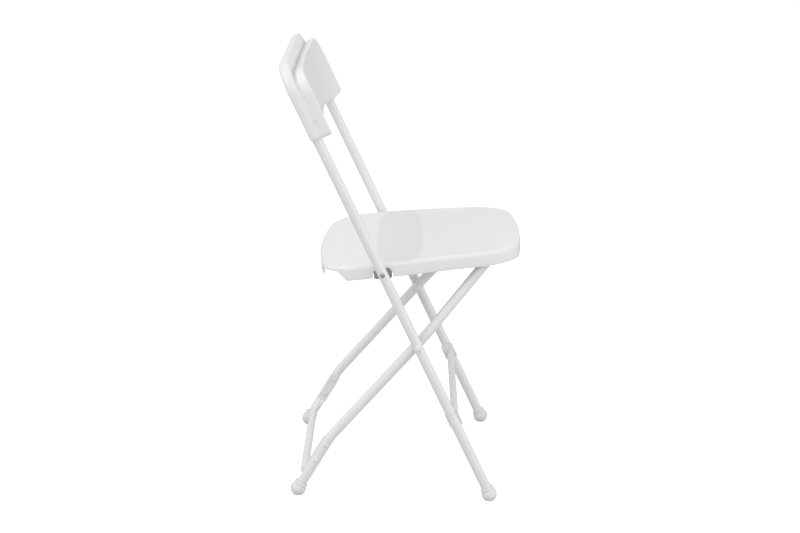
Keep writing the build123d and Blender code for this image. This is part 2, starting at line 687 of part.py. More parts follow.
def slide_track(side):
    """Rail under the seat on which the rod's bush bears, with a stop at its front end."""
    open_y, open_z = rod_in_seat()
    folded_y, folded_z = rod_folded_in_seat()
    slope = (open_z - folded_z) / (open_y - folded_y)
    lift = BUSH_D / 2 + TRACK_GAP
    front_y = open_y - lift - TRACK_FLANGE_T
    rear_y = folded_y + TRACK_PAST_ROD

    def edge_z(y):
        return open_z + slope * (y - open_y) + lift

    top = SEAT_UNDERSIDE
    web = [(front_y, top), (rear_y, top), (rear_y, edge_z(rear_y)), (front_y, edge_z(front_y))]
    low = [
        (front_y, edge_z(front_y)),
        (rear_y, edge_z(rear_y)),
        (rear_y, edge_z(rear_y) + TRACK_FLANGE_T),
        (front_y, edge_z(front_y) + TRACK_FLANGE_T),
    ]
    plane = Plane(origin=(TRACK_X, 0, 0), x_dir=(0, 1, 0), z_dir=(1, 0, 0))
    solid = extrude(plane * make_face(Polyline(*web, close=True)), TRACK_WEB_T / 2, both=True)
    solid += extrude(plane * make_face(Polyline(*low, close=True)), TRACK_FLANGE_WIDTH / 2, both=True)
    cap_mid = (front_y + rear_y) / 2
    cap_x = TRACK_X + TRACK_WEB_T / 2
    solid += Pos(cap_x, cap_mid, top - TRACK_FLANGE_T / 2) * Box(
        TRACK_FLANGE_WIDTH, rear_y - front_y, TRACK_FLANGE_T
    )
    stop_top = edge_z(front_y) + TRACK_FLANGE_T
    stop = Pos(TRACK_X, front_y + TRACK_FLANGE_T / 2, stop_top - TRACK_STOP_DROP / 2) * Box(
        TRACK_FLANGE_WIDTH, TRACK_FLANGE_T, TRACK_STOP_DROP
    )
    solid += stop
    for x, y in track_screw_places(1):
        solid -= Pos(x, y, top) * Cylinder(SCREW_D / 2, 2 * TRACK_FLANGE_T)
        head = Cylinder(SCREW_HEAD_D / 2 + 0.4, SEAT_UNDERSIDE)
        solid -= Pos(x, y, top - TRACK_FLANGE_T - SEAT_UNDERSIDE / 2) * head
    if side < 0:
        solid = mirror(solid, about=Plane.YZ)
    return SEAT_PLANE * solid


# ---- write every node ----

def main():
    os.makedirs("parts", exist_ok=True)
    write("back_panel", back_panel(), "white")
    write("front_brace", front_brace(), "lightgray")
    write("rear_brace", rear_brace(), "lightgray")
    write("slide_rod", slide_rod(), "gray")
    write("seat_panel", seat_panel(), "white")
    write("seat_cross_bar", seat_cross_bar(), "gray")
    for word, side in SIDES:
        write(f"upright_tube_{word}", upright_tube(side), "lightgray")
        write(f"front_foot_{word}", foot(FLOOR_POINT, UPRIGHT_DIR, side * UPRIGHT_X), "ivory")
        write(f"cross_rivet_{word}", cross_rivet(side), "gray")
        write(f"cross_washer_{word}", cross_washer(side), "ivory")
        write(f"hinge_rivet_{word}", hinge_rivet(side), "gray")
        write(f"hinge_washer_{word}", hinge_washer(side), "ivory")
        write(f"back_screw_{word}", back_screw(side), "gray")
        write(f"rear_leg_{word}", rear_leg(side), "lightgray")
        write(f"rear_foot_{word}", foot(LEG_FLOOR, LEG_FOOT_DIR, side * LEG_X), "ivory")
        write(f"slide_bush_{word}", slide_bush(side), "ivory")
        write(f"hinge_bracket_{word}", hinge_bracket(side), "dimgray")
        write(f"slide_track_{word}", slide_track(side), "gray")
        for number, along in enumerate(REAR_RIVETS_ALONG, 1):
            write(f"rear_rivet_{word}_{number}", rear_rivet(side, along), "gray")
        for number, (x, y) in enumerate(bracket_screw_places(side), 1):
            write(f"bracket_screw_{word}_{number}", seat_screw(x, y, BRACKET_T), "gray")
        for number, (x, y) in enumerate(track_screw_places(side), 1):
            write(f"track_screw_{word}_{number}", seat_screw(x, y, TRACK_FLANGE_T), "gray")
    for word, (x, y) in zip(("right", "left"), cross_bar_screw_places()):
        write(f"cross_bar_screw_{word}", seat_screw(x, y, CROSS_BAR_T), "gray")


main()
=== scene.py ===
"""White folding chair: moulded seat and back panel on a crossed frame of steel tube."""
import json
import math

import bmesh
import bpy
from bpy.props import FloatProperty, FloatVectorProperty, IntProperty, PointerProperty
from mathutils import Matrix, Vector


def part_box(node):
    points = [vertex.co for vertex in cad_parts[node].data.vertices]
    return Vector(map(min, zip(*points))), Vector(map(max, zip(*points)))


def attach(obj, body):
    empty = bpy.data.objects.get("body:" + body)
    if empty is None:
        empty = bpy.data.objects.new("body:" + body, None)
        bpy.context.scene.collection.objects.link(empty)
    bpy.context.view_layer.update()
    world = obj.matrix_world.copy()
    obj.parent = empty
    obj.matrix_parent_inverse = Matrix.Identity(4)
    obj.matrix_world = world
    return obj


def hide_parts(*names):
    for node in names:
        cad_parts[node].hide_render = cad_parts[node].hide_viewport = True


bl_info = {
    "name": "Folding Chair",
    "version": (1, 0, 0),
    "blender": (4, 5, 0),
    "location": "View3D > Sidebar > Chair",
    "description": "Builds the looks of a white folding chair round its packed frame",
    "category": "Add Mesh",
}

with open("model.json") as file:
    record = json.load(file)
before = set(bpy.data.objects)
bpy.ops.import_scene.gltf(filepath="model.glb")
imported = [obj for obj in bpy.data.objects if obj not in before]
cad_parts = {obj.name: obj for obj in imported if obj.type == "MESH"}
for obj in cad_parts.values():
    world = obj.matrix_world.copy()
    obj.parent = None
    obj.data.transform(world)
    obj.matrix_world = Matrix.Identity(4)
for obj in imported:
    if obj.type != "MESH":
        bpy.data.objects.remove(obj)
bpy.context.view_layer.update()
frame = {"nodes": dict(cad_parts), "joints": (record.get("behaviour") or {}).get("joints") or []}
NODES = frame["nodes"]
HINGE = Vector(next(j["pos_m"] for j in frame["joints"] if j["name"] == "seat_fold"))
SIDES = (("left", 1), ("right", -1))
ACROSS = Vector((1, 0, 0))
CREASE = math.radians(38)
QUARTER = math.pi / 2


# ---- sizes and colours ----

def size_mm(name, description, value):
    """Length property whose default is given in millimetres."""
    return FloatProperty(name=name, description=description, default=value / 1000, unit="LENGTH", precision=5)


def angle_deg(name, description, value):
    """Angle property whose default is given in degrees."""
    return FloatProperty(name=name, description=description, default=math.radians(value), subtype="ANGLE")


def colour(name, description, value):
    """Colour property."""
    return FloatVectorProperty(name=name, description=description, default=value, size=3, subtype="COLOR")


class ChairFrameSizes(bpy.types.PropertyGroup):
    lean: angle_deg("Lean", "Lean of the uprights back from vertical", 25.2)
    seat_tilt: angle_deg("Seat tilt", "Fall of the open seat towards its rear", 5.5)
    hinge_along: size_mm("Hinge along", "Seat hinge from the floor, along an upright", 496.1)
    tube_d: size_mm("Tube", "Outer diameter of the frame tube", 19.05)


class ChairBackSizes(bpy.types.PropertyGroup):
    half_width: size_mm("Half width", "Middle to an end", 218.5)
    top: size_mm("Rear shell top", "Top of the rear shell, along the uprights", 922.6)
    front_top: size_mm("Front shell top", "Top of the front shell, along the uprights", 900.1)
    end_bottom: size_mm("End bottom", "Lower edge at the ends", 773.1)
    middle_bottom: size_mm("Middle bottom", "Lower edge at the middle", 790.1)
    end_width: size_mm("End width", "Width of each end below the arch", 34.0)
    top_corner_r: size_mm("Rear shell corner", "Radius of the rear shell's top corners", 60.0)
    front_corner_r: size_mm("Front shell corner", "Radius of the front shell's top corners", 44.0)
    low_corner_r: size_mm("Low corner", "Radius of the lower corners", 9.0)
    rear: size_mm("Rear", "Rear face, ahead of the uprights' axes", -11.4)
    front: size_mm("Front", "Front edge of the ends, ahead of the uprights' axes", 31.8)
    top_hollow: size_mm("Hollow at top", "Depth of the front face's hollow at its top", 6.5)
    low_hollow: size_mm("Hollow at bottom", "Depth of the front face's hollow at its lower edge", 23.0)
    rear_edge_r: size_mm("Rear edge", "Rounding of the rear shell's edge", 8.5)
    front_edge_r: size_mm("Front edge", "Rounding of the front shell's edge", 3.2)
    groove_from: size_mm("Groove from", "Rear side of the groove", 8.6)
    groove_to: size_mm("Groove to", "Front side of the groove", 14.0)
    groove_depth: size_mm("Groove depth", "How far the groove is let in", 3.6)
    groove_start: size_mm("Groove start", "Where the groove ends on each side", 837.1)
    seam: size_mm("Parting line", "Height of the mould's parting line", 0.22)


class ChairSeatSizes(bpy.types.PropertyGroup):
    half_width: size_mm("Half width", "Middle to the side of the skirt", 194.4)
    front_half_width: size_mm("Front half width", "Middle to the side at the front corners", 167.0)
    rear_side: size_mm("Rear at sides", "Rear edge at its ends, from the hinge", 102.0)
    front_side: size_mm("Front at sides", "Front edge at its ends, from the hinge", 241.0)
    rear_bow: size_mm("Rear bow", "How far the rear edge bows out", 22.0)
    front_bow: size_mm("Front bow", "How far the front edge bows out", 24.0)
    rear_corner_r: size_mm("Rear corner", "Radius of the rear corners", 56.0)
    front_corner_r: size_mm("Front corner", "Radius of the front corners", 62.0)
    taper_from: size_mm("Taper from", "Where the sides start to draw in, ahead of the hinge", 8.0)
    top: size_mm("Top", "Top face, above the hinge", 17.6)
    rim: size_mm("Rim", "Lower edge of the skirt, above the hinge", -10.4)
    edge_r: size_mm("Edge", "Rounding of the top edge", 8.0)
    wall: size_mm("Wall", "Thickness of the skirt", 3.4)
    plate: size_mm("Plate", "Thickness of the top plate", 4.2)
    rear_fall: size_mm("Rear fall", "How far the plate falls away to its rear edge", 3.5)
    front_fall: size_mm("Front fall", "How far the plate falls away to its front edge", 3.0)
    dish: size_mm("Dish", "Depth of the sitting dish", 3.5)
    dish_rear: size_mm("Dish rear", "Rear border of the dish, behind the hinge", 11.0)
    # The next three bound the band of painted shade on the dish's forward slope, which is toned into the seat's
    # colour.
    shade_band_front: size_mm("Worn front", "Front border of the worn band, ahead of the hinge", 76.0)
    shade_band_side: size_mm("Worn side", "Ends of the worn band, from the middle", 190.0)
    shade_band_corner: size_mm("Worn corner", "How far the band's borders draw together at its ends", 20.0)
    dish_low: size_mm("Dish low", "Where the dish reaches its depth, ahead of the hinge", 72.0)
    arch_r: size_mm("Hinge arch", "Radius of the opening round each hinge", 19.0)
    arch_drop: size_mm("Arch drop", "Centre of that opening, below the hinge", 8.0)
    notch_x: size_mm("Notch inner side", "Inner side of the rear corner openings", 114.0)
    notch_y: size_mm("Notch front side", "Front side of those openings at the rim, behind the hinge", 68.9)
    notch_top: size_mm("Notch top", "Top of those openings, above the hinge", 7.4)
    rib_t: size_mm("Rib thickness", "Thickness of the ribs under the plate", 2.2)
    rib_depth: size_mm("Rib depth", "Depth of the ribs under the plate", 8.0)


class ChairFixingSizes(bpy.types.PropertyGroup):
    ball_r: size_mm("Foot ball", "Radius of a foot's ball", 14.8)
    ball_rise: size_mm("Foot ball rise", "Centre of the ball above the floor", 12.0)
    collar_r: size_mm("Foot collar", "Radius of the collar round a foot's tube", 12.6)
    collar_top: size_mm("Foot collar top", "Top of the collar, along the tube", 25.5)
    cross_head_d: size_mm("Crossing rivet", "Diameter of the crossing rivets' heads", 13.0)
    hinge_head_d: size_mm("Hinge rivet", "Diameter of the hinge rivets' heads", 9.0)
    brace_head_d: size_mm("Brace rivet", "Diameter of the rear brace rivets' heads", 9.5)
    screw_head_d: size_mm("Screw", "Diameter of the screws' heads", 7.5)
    spin_seed: IntProperty(name="Spin seed", description="Seed for how the screw slots lie", default=7)


class ChairFinishes(bpy.types.PropertyGroup):
    enamel: colour("Enamel", "Baked enamel on the tubes and rivets", (0.80, 0.81, 0.825))
    resin: colour("Resin", "Moulded seat and back", (0.83, 0.835, 0.845))
    cap: colour("Cap", "Foot caps", (0.80, 0.79, 0.765))
    nylon: colour("Nylon", "Bushes and spacers", (0.70, 0.69, 0.65))
    zinc: colour("Zinc", "Screws and bare rivets", (0.42, 0.43, 0.45))
    steel: colour("Steel", "Brackets, tracks and rod", (0.36, 0.365, 0.375))
    backdrop: colour("Backdrop", "Floor and surroundings", (0.55, 0.55, 0.555))


class ChairStageSizes(bpy.types.PropertyGroup):
    lens: FloatProperty(name="Lens", description="Focal length, in millimetres", default=75.0, unit="CAMERA")
    away: size_mm("Camera away", "Camera to the side of the chair's middle", 3145.1)
    behind: size_mm("Camera behind", "Camera behind the uprights' floor points", 170.8)
    height: size_mm("Camera height", "Camera above the floor", 1327.7)
    pan: angle_deg("Pan", "Camera's turn from square to the side", 0.166)
    dip: angle_deg("Dip", "How far the camera looks down", 16.375)
    roll: angle_deg("Roll", "Camera's roll", 0.382)


GROUPS = {
    "chair_frame": ChairFrameSizes,
    "chair_back": ChairBackSizes,
    "chair_seat": ChairSeatSizes,
    "chair_fixings": ChairFixingSizes,
    "chair_finishes": ChairFinishes,
    "chair_stage": ChairStageSizes,
}


# ---- places ----

def side_direction(angle):
    """Unit vector in the side plane, leaning forward of straight up by angle."""
    return Vector((0, -math.sin(angle), math.cos(angle)))


def plane_matrix(origin, x_axis, y_axis, z_axis):
    """Matrix that takes a piece's own axes to the chair's."""
    turn = Matrix((x_axis, y_axis, z_axis)).transposed().to_4x4()
    return Matrix.Translation(origin) @ turn


def upright_plane(scene):
    """Across, along the uprights from the floor, and ahead of their axes."""
    sizes = scene.chair_frame
    along = side_direction(-sizes.lean)
    ahead = side_direction(QUARTER - sizes.lean)
    return plane_matrix(HINGE - along * sizes.hinge_along, ACROSS, along, ahead)


def seat_plane(scene):
    """Across, rearward and up from the seat, at the hinge."""
    tilt = scene.chair_frame.seat_tilt
    rearward = Vector((0, math.cos(tilt), -math.sin(tilt)))
    return plane_matrix(HINGE, ACROSS, rearward, side_direction(-tilt))


# ---- mesh helpers ----

def ease(value):
    """Smooth step from 0 to 1."""
    value = min(max(value, 0.0), 1.0)
    return value * value * (3 - 2 * value)


def steps(first, last, count):
    """Evenly spaced values, without the last one."""
    return [first + (last - first) * i / count for i in range(count)]


def corner_arc(centre_x, centre_y, radius, start, end, count):
    """Points of an arc by angle in degrees, without its last point."""
    turns = [math.radians(a) for a in steps(start, end, count)]
    return [(centre_x + radius * math.cos(a), centre_y + radius * math.sin(a)) for a in turns]


def drawn_in(ring, middle_y, share):
    """Ring scaled towards a point on its middle line."""
    return [(x * share, middle_y + (y - middle_y) * share) for x, y in ring]


def both_halves(half):
    """Closed ring from a half that runs from x = 0 round to x = 0, its last point included."""
    return half + [(-x, y) for x, y in reversed(half[1:-1])]


def link_smooth(name, mesh):
    """New object of a mesh, smooth with its crisp edges kept."""
    mesh.shade_smooth()
    mesh.set_sharp_from_angle(angle=CREASE)
    obj = bpy.data.objects.new(name, mesh)
    bpy.context.scene.collection.objects.link(obj)
    return obj


def link_mesh(name, build, matrix):
    """New object whose mesh is moved into place, with its faces outward."""
    mesh = bpy.data.meshes.new(name)
    build.transform(matrix)
    bmesh.ops.recalc_face_normals(build, faces=build.faces)
    build.to_mesh(mesh)
    build.free()
    return link_smooth(name, mesh)


def skin_rings(rings, matrix, name):
    """Closed surface through rings of equal count; the first and last are closed on a point each."""
    build = bmesh.new()
    rows = [[build.verts.new(p) for p in ring] for ring in rings]
    count = len(rings[0])
    for row, following in zip(rows, rows[1:]):
        for i in range(count):
            j = (i + 1) % count
            build.faces.new((row[i], row[j], following[j], following[i]))
    for row in (rows[0], rows[-1]):
        pole = build.verts.new(sum((v.co for v in row), Vector()) / count)
        for i in range(count):
            build.faces.new((row[i], row[(i + 1) % count], pole))
    return link_mesh(name, build, matrix)


def lathe(profile, count):
    """Mesh turned about Z from (radius, height) points; ends at radius 0 are poles."""
    build = bmesh.new()
    rows = []
    for radius, height in profile:
        if radius == 0:
            rows.append([build.verts.new((0, 0, height))])
            continue
        turns = [2 * math.pi * i / count for i in range(count)]
        rows.append([build.verts.new((radius * math.cos(a), radius * math.sin(a), height)) for a in turns])
    for low, high in zip(rows, rows[1:]):
        for i in range(count):
            j = (i + 1) % count
            face = [low[i % len(low)], low[j % len(low)], high[j % len(high)], high[i % len(high)]]
            build.faces.new(list(dict.fromkeys(face)))
    return build


# ---- node helpers ----

def feed(tree, node, values):
    """Links each named input of a node to a socket, or sets it to a plain value."""
    for label, value in values.items():
        if isinstance(value, bpy.types.NodeSocket):
            tree.links.new(value, node.inputs[label])
        else:
            node.inputs[label].default_value = value
    return node


def add_node(tree, kind, values, **settings):
    """New node with its settings and its inputs."""
    node = tree.nodes.new(kind)
    for name, value in settings.items():
        setattr(node, name, value)
    return feed(tree, node, values)


def new_tree(kind, name, inputs, outputs):
    """Node tree with named sockets, with its input node's sockets and its output node."""
    tree = bpy.data.node_groups.new(name, kind)
    for label, family, *default in inputs:
        socket = tree.interface.new_socket(name=label, in_out="INPUT", socket_type="NodeSocket" + family)
        if default:
            socket.default_value = default[0]
    for label, family in outputs:
        tree.interface.new_socket(name=label, in_out="OUTPUT", socket_type="NodeSocket" + family)
    return tree, tree.nodes.new("NodeGroupInput").outputs, tree.nodes.new("NodeGroupOutput")


def noise(tree, place, scale, detail=4.0, roughness=0.55):
    """Noise texture on the given place."""
    values = {"Vector": place, "Scale": scale, "Detail": detail, "Roughness": roughness}
    return add_node(tree, "ShaderNodeTexNoise", values).outputs["Fac"]


def calculate(tree, kind, first, second=0.0):
    """Math node of the given kind."""
    return add_node(tree, "ShaderNodeMath", {0: first, 1: second}, operation=kind).outputs[0]


def remap(tree, value, from_low, from_high, to_low=0.0, to_high=1.0):
    """Map Range node."""
    values = {
        "Value": value, "From Min": from_low, "From Max": from_high, "To Min": to_low, "To Max": to_high,
    }
    return add_node(tree, "ShaderNodeMapRange", values).outputs["Result"]


def mix_colours(tree, share, first, second):
    """Mix of two colours."""
    values = {"Factor": share, "A": first, "B": second}
    return add_node(tree, "ShaderNodeMix", values, data_type="RGBA").outputs["Result"]


def feed_out(tree, out, values):
    """Feeds a tree's output node and hands back the tree."""
    feed(tree, out, values)
    return tree


def object_place(tree):
    """Object coordinates."""
    return tree.nodes.new("ShaderNodeTexCoord").outputs["Object"]


# ---- shader groups shared by the finishes ----

def surface_grain_tree():
    """Fine even relief: moulded skin, orange peel or cast grain, by scale."""
    tree, given, out = new_tree(
        "ShaderNodeTree", "surface_grain",
        [("Grain Scale", "Float"), ("Wave Scale", "Float"), ("Wave Share", "Float")],
        [("Height", "Float")],
    )
    place = object_place(tree)
    fine = noise(tree, place, given["Grain Scale"], 3.0)
    wave = noise(tree, place, given["Wave Scale"], 2.0, 0.4)
    wave = calculate(tree, "MULTIPLY", wave, given["Wave Share"])
    return feed_out(tree, out, {"Height": calculate(tree, "ADD", fine, wave)})


def tone_drift_tree():
    """Slow drift between two tones, with a lightly varied gloss."""
    tree, given, out = new_tree(
        "ShaderNodeTree", "tone_drift",
        [("Tone", "Color"), ("Drift", "Color"), ("Scale", "Float", 6.0), ("Gloss Low", "Float"),
         ("Gloss High", "Float")],
        [("Color", "Color"), ("Roughness", "Float")],
    )
    place = object_place(tree)
    share = remap(tree, noise(tree, place, given["Scale"], 5.0), 0.35, 0.65)
    smear = noise(tree, place, 40.0, 6.0, 0.65)
    return feed_out(tree, out, {
        "Color": mix_colours(tree, share, given["Tone"], given["Drift"]),
        "Roughness": remap(tree, smear, 0.3, 0.7, given["Gloss Low"], given["Gloss High"]),
    })


def handling_marks_tree():
    """Faint scuffs and dust that tone a colour and dull its gloss."""
    tree, given, out = new_tree(
        "ShaderNodeTree", "handling_marks",
        [("Color", "Color"), ("Mark Color", "Color"), ("Roughness", "Float"), ("Amount", "Float"),
         ("Scale", "Float", 60.0)],
        [("Color", "Color"), ("Roughness", "Float")],
    )
    place = object_place(tree)
    stretch = add_node(tree, "ShaderNodeMapping", {"Vector": place, "Scale": (1.0, 1.0, 0.22)})
    streaks = noise(tree, stretch.outputs["Vector"], given["Scale"], 8.0, 0.7)
    patches = noise(tree, place, 9.0, 3.0)
    mask = calculate(tree, "MULTIPLY", remap(tree, streaks, 0.58, 0.72), remap(tree, patches, 0.5, 0.7))
    mask = calculate(tree, "MULTIPLY", mask, given["Amount"])
    return feed_out(tree, out, {
        "Color": mix_colours(tree, mask, given["Color"], given["Mark Color"]),
        "Roughness": calculate(tree, "ADD", given["Roughness"], mask),
    })


def painted_shade_band_tree():
    """Mask of the band of painted shade on the dish's forward slope, in the seat's own plan."""
    tree, given, out = new_tree(
        "ShaderNodeTree", "worn_band",
        [("Rear", "Float"), ("Front", "Float"), ("Side", "Float"), ("Corner", "Float")],
        [("Mask", "Float")],
    )
    plan = add_node(tree, "ShaderNodeAttribute", {}, attribute_name="plan")
    parts = add_node(tree, "ShaderNodeSeparateXYZ", {"Vector": plan.outputs["Vector"]})
    across = calculate(tree, "ABSOLUTE", parts.outputs["X"])
    behind = parts.outputs["Y"]
    end = remap(tree, across, 0.10, 0.19)
    curve = calculate(tree, "MULTIPLY", calculate(tree, "MULTIPLY", end, end), given["Corner"])
    to_rear = calculate(tree, "SUBTRACT", calculate(tree, "SUBTRACT", given["Rear"], curve), behind)
    to_front = calculate(tree, "SUBTRACT", calculate(tree, "ADD", behind, given["Front"]), curve)
    to_side = calculate(tree, "SUBTRACT", given["Side"], across)
    mask = remap(tree, to_rear, -0.003, 0.003)
    mask = calculate(tree, "MULTIPLY", mask, remap(tree, to_front, -0.004, 0.006))
    mask = calculate(tree, "MULTIPLY", mask, remap(tree, to_side, -0.004, 0.004))
    return feed_out(tree, out, {"Mask": mask})


# ---- finishes ----

def use_group(tree, name, values):
    """Node of a shared shader group in a material, with its inputs."""
    return add_node(tree, "ShaderNodeGroup", values, node_tree=shared_tree(name))


def shaded(rgb, factor):
    """Colour scaled by a factor, with alpha."""
    return tuple(min(c * factor, 1.0) for c in rgb) + (1.0,)


# tint: colour property; drift: share of the second tone; gloss: low and high roughness; marks: amount and
# darkness of scuffs; grain: grain scale, wave scale and wave share; relief: bump distance;
# soft: light scattered under the skin.
FINISHES = {
    "baked_enamel": dict(tint="enamel", drift=0.985, gloss=(0.24, 0.34), marks=(0.10, 0.75),
                         grain=(420, 60, 0.9), relief=0.00006, coat=0.25),
    "rivet_enamel": dict(tint="enamel", drift=0.95, gloss=(0.28, 0.42), marks=(0.35, 0.6),
                         grain=(700, 120, 0.6), relief=0.00010, coat=0.2),
    "seat_resin": dict(tint="resin", drift=0.99, gloss=(0.30, 0.40), marks=(0.05, 0.85),
                       grain=(1500, 14, 3.0), relief=0.00004, coat=0.12, soft=0.12),
    "back_resin": dict(tint="resin", drift=0.99, gloss=(0.32, 0.44), marks=(0.05, 0.85),
                       grain=(1500, 14, 3.0), relief=0.00004, coat=0.1, soft=0.12),
    "cap_resin": dict(tint="cap", drift=0.96, gloss=(0.38, 0.52), marks=(0.25, 0.7),
                      grain=(1100, 70, 0.5), relief=0.00006, soft=0.15),
    "natural_nylon": dict(tint="nylon", drift=0.95, gloss=(0.40, 0.55), marks=(0.2, 0.7),
                          grain=(900, 60, 0.5), relief=0.00005, soft=0.2),
    "zinc_plate": dict(tint="zinc", drift=0.85, gloss=(0.28, 0.45), marks=(0.5, 0.6),
                       grain=(800, 200, 0.6), relief=0.00005, metallic=1.0),
    "plain_steel": dict(tint="steel", drift=0.85, gloss=(0.34, 0.52), marks=(0.5, 0.6),
                        grain=(600, 150, 0.6), relief=0.00008, metallic=0.85),
}
COAT_ROUGHNESS = 0.12
SKIN_RADIUS = (0.004, 0.004, 0.0035)
# Share of the resin's colour left in the band of painted shade on the seat's dish.
PAINTED_SHADE_TONE = 0.91


def make_finish(name, rgb, drift, gloss, marks, grain, relief, metallic=0.0, coat=0.0, soft=0.0):
    """Material from the shared groups, by a row of FINISHES."""
    material = bpy.data.materials.new(name)
    material.use_nodes = True
    material.diffuse_color = shaded(rgb, 1.0)
    tree = material.node_tree
    tone = use_group(tree, "tone_drift", {
        "Tone": shaded(rgb, 1.0), "Drift": shaded(rgb, drift), "Gloss Low": gloss[0], "Gloss High": gloss[1],
    })
    marked = use_group(tree, "handling_marks", {
        "Color": tone.outputs["Color"], "Roughness": tone.outputs["Roughness"],
        "Amount": marks[0], "Mark Color": shaded(rgb, marks[1]),
    })
    height = use_group(tree, "surface_grain", {
        "Grain Scale": grain[0], "Wave Scale": grain[1], "Wave Share": grain[2],
    })
    bump = add_node(tree, "ShaderNodeBump", {
        "Strength": 1.0, "Distance": relief, "Height": height.outputs["Height"],
    })
    feed(tree, tree.nodes["Principled BSDF"], {
        "Metallic": metallic, "Coat Weight": coat, "Coat Roughness": COAT_ROUGHNESS,
        "Subsurface Weight": soft, "Subsurface Radius": SKIN_RADIUS, "Subsurface Scale": 1.0,
        "Base Color": marked.outputs["Color"], "Roughness": marked.outputs["Roughness"],
        "Normal": bump.outputs["Normal"],
    })
    return material


def finish(scene, name):
    """The chair's finish of that name, made once."""
    recipe = dict(FINISHES[name])
    rgb = getattr(scene.chair_finishes, recipe.pop("tint"))
    return bpy.data.materials.get(name) or make_finish(name, rgb, **recipe)


def dress(obj, material):
    """Gives every face of an object one finish."""
    obj.data.materials.clear()
    obj.data.materials.append(material)


def dress_nodes(material, *starts):
    """Gives one finish to the CAD nodes whose names start with any of the words."""
    for node in names_starting(*starts):
        dress(NODES[node], material)


# ---- back panel ----

# Metres, but for FINE_LINE and LEAST_LIP, which are shares of the full depth.
GROOVE_FADE = 0.04
GROOVE_LIP = 0.0022
FINE_LINE = 0.06
LEAST_LIP = 0.12
LEVEL_GAP = 0.0002
SEAM_FROM = 0.0008
SEAM_HALF = 0.0003


def moved(first, second, share):
    """Point that share of the way from one point to another."""
    return first[0] + (second[0] - first[0]) * share, first[1] + (second[1] - first[1]) * share


def back_half_ring(sizes, top, corner_r, inset):
    """Half of a shell's outline, from the middle of its lower edge to the middle of its top."""
    half = sizes.half_width - inset
    arch_half = sizes.half_width - sizes.end_width
    low_r = sizes.low_corner_r
    base = sizes.end_bottom + inset

    def lower_edge(x):
        return base + (sizes.middle_bottom - sizes.end_bottom) * ease(1 - x / arch_half)

    points = [(x, lower_edge(x)) for x in steps(0, half - low_r + inset, 22)]
    points += corner_arc(half + inset - low_r, base - inset + low_r, low_r - inset * 0.9, -90, 0, 6)
    points += [(half, y) for y in steps(sizes.end_bottom + low_r, top - corner_r, 18)]
    points += corner_arc(half + inset - corner_r, top - corner_r, corner_r - inset, 0, 90, 16)
    points += [(x, top - inset) for x in steps(half + inset - corner_r, 0, 16)]
    return points + [(0, top - inset)]


def back_face_depth(sizes, x, along):
    """How far ahead the hollow front face is at a point."""
    rise = (along - sizes.end_bottom) / (sizes.front_top - sizes.end_bottom)
    hollow = sizes.low_hollow + (sizes.top_hollow - sizes.low_hollow) * min(max(rise, 0), 1)
    return sizes.front - hollow * (1 - (x / sizes.half_width) ** 2)


def back_groove_inset(sizes, along):
    """Depth of the groove between the shells: full above its start, a fine line below."""
    line = sizes.groove_depth * FINE_LINE
    return line + (sizes.groove_depth - line) * ease((along - sizes.groove_start) / GROOVE_FADE)


def back_rings(sizes):
    """Rings of the panel from the middle of its rear face to the middle of its front face."""
    rear_r = sizes.rear_edge_r
    front_r = sizes.front_edge_r

    def rear_outline(inset):
        return both_halves(back_half_ring(sizes, sizes.top, sizes.top_corner_r, inset))

    def front_outline(inset):
        return both_halves(back_half_ring(sizes, sizes.front_top, sizes.front_corner_r, inset))

    middle = (sizes.end_bottom + sizes.top) / 2
    rings = []
    rear_edge = rear_outline(rear_r)
    for share in (0.12, 0.3, 0.5, 0.68, 0.82, 0.92):
        rings.append([(x, y, sizes.rear) for x, y in drawn_in(rear_edge, middle, share)])
    for turn in steps(0, QUARTER, 7):
        ring = rear_outline(rear_r * (1 - math.sin(turn)))
        rings.append([(x, y, sizes.rear + rear_r * (1 - math.cos(turn))) for x, y in ring])

    lip = GROOVE_LIP
    part = lip * 0.3
    flush = {rear_outline: rear_outline(0), front_outline: front_outline(0)}
    front_line = flush[front_outline]
    deepest = front_outline(sizes.groove_depth)
    levels = [
        (rear_outline, 0.0, sizes.rear + rear_r),
        (rear_outline, 0.0, -SEAM_FROM),
        (rear_outline, -sizes.seam, -SEAM_HALF),
        (rear_outline, -sizes.seam, SEAM_HALF),
        (rear_outline, 0.0, SEAM_FROM),
        (rear_outline, 0.0, sizes.groove_from - lip),
        (rear_outline, part, sizes.groove_from - part),
        (rear_outline, lip, sizes.groove_from),
        (front_outline, None, sizes.groove_from + part),
        (front_outline, None, (sizes.groove_from + sizes.groove_to) / 2),
        (front_outline, None, sizes.groove_to - part),
        (front_outline, lip, sizes.groove_to),
        (front_outline, part, sizes.groove_to + part),
        (front_outline, 0.0, sizes.groove_to + lip),
    ]
    for i, (outline, inset, level) in enumerate(levels):
        ring = deepest if inset is None else outline(inset)
        placed = []
        for (x, y), edge, line in zip(ring, flush[outline], front_line):
            if inset is None:
                x, y = moved(edge, (x, y), back_groove_inset(sizes, line[1]) / sizes.groove_depth)
            elif inset > 0:
                fade = ease((line[1] - sizes.groove_start) / GROOVE_FADE)
                x, y = moved(edge, (x, y), LEAST_LIP + (1 - LEAST_LIP) * fade)
            ceiling = back_face_depth(sizes, *line) - front_r - LEVEL_GAP * (len(levels) - i)
            placed.append((x, y, min(level, ceiling)))
        rings.append(placed)
    for turn in steps(0, QUARTER, 7):
        ring = front_outline(front_r * (1 - math.cos(turn)))
        rings.append([(x, y, back_face_depth(sizes, x, y) - front_r * (1 - math.sin(turn))) for x, y in ring])
    front_edge = front_outline(front_r)
    middle = (sizes.end_bottom + sizes.front_top) / 2
    for share in (1.0, 0.97, 0.92, 0.85, 0.76, 0.66, 0.55, 0.44, 0.33, 0.22, 0.1):
        rings.append([(x, y, back_face_depth(sizes, x, y)) for x, y in drawn_in(front_edge, middle, share)])
    return rings


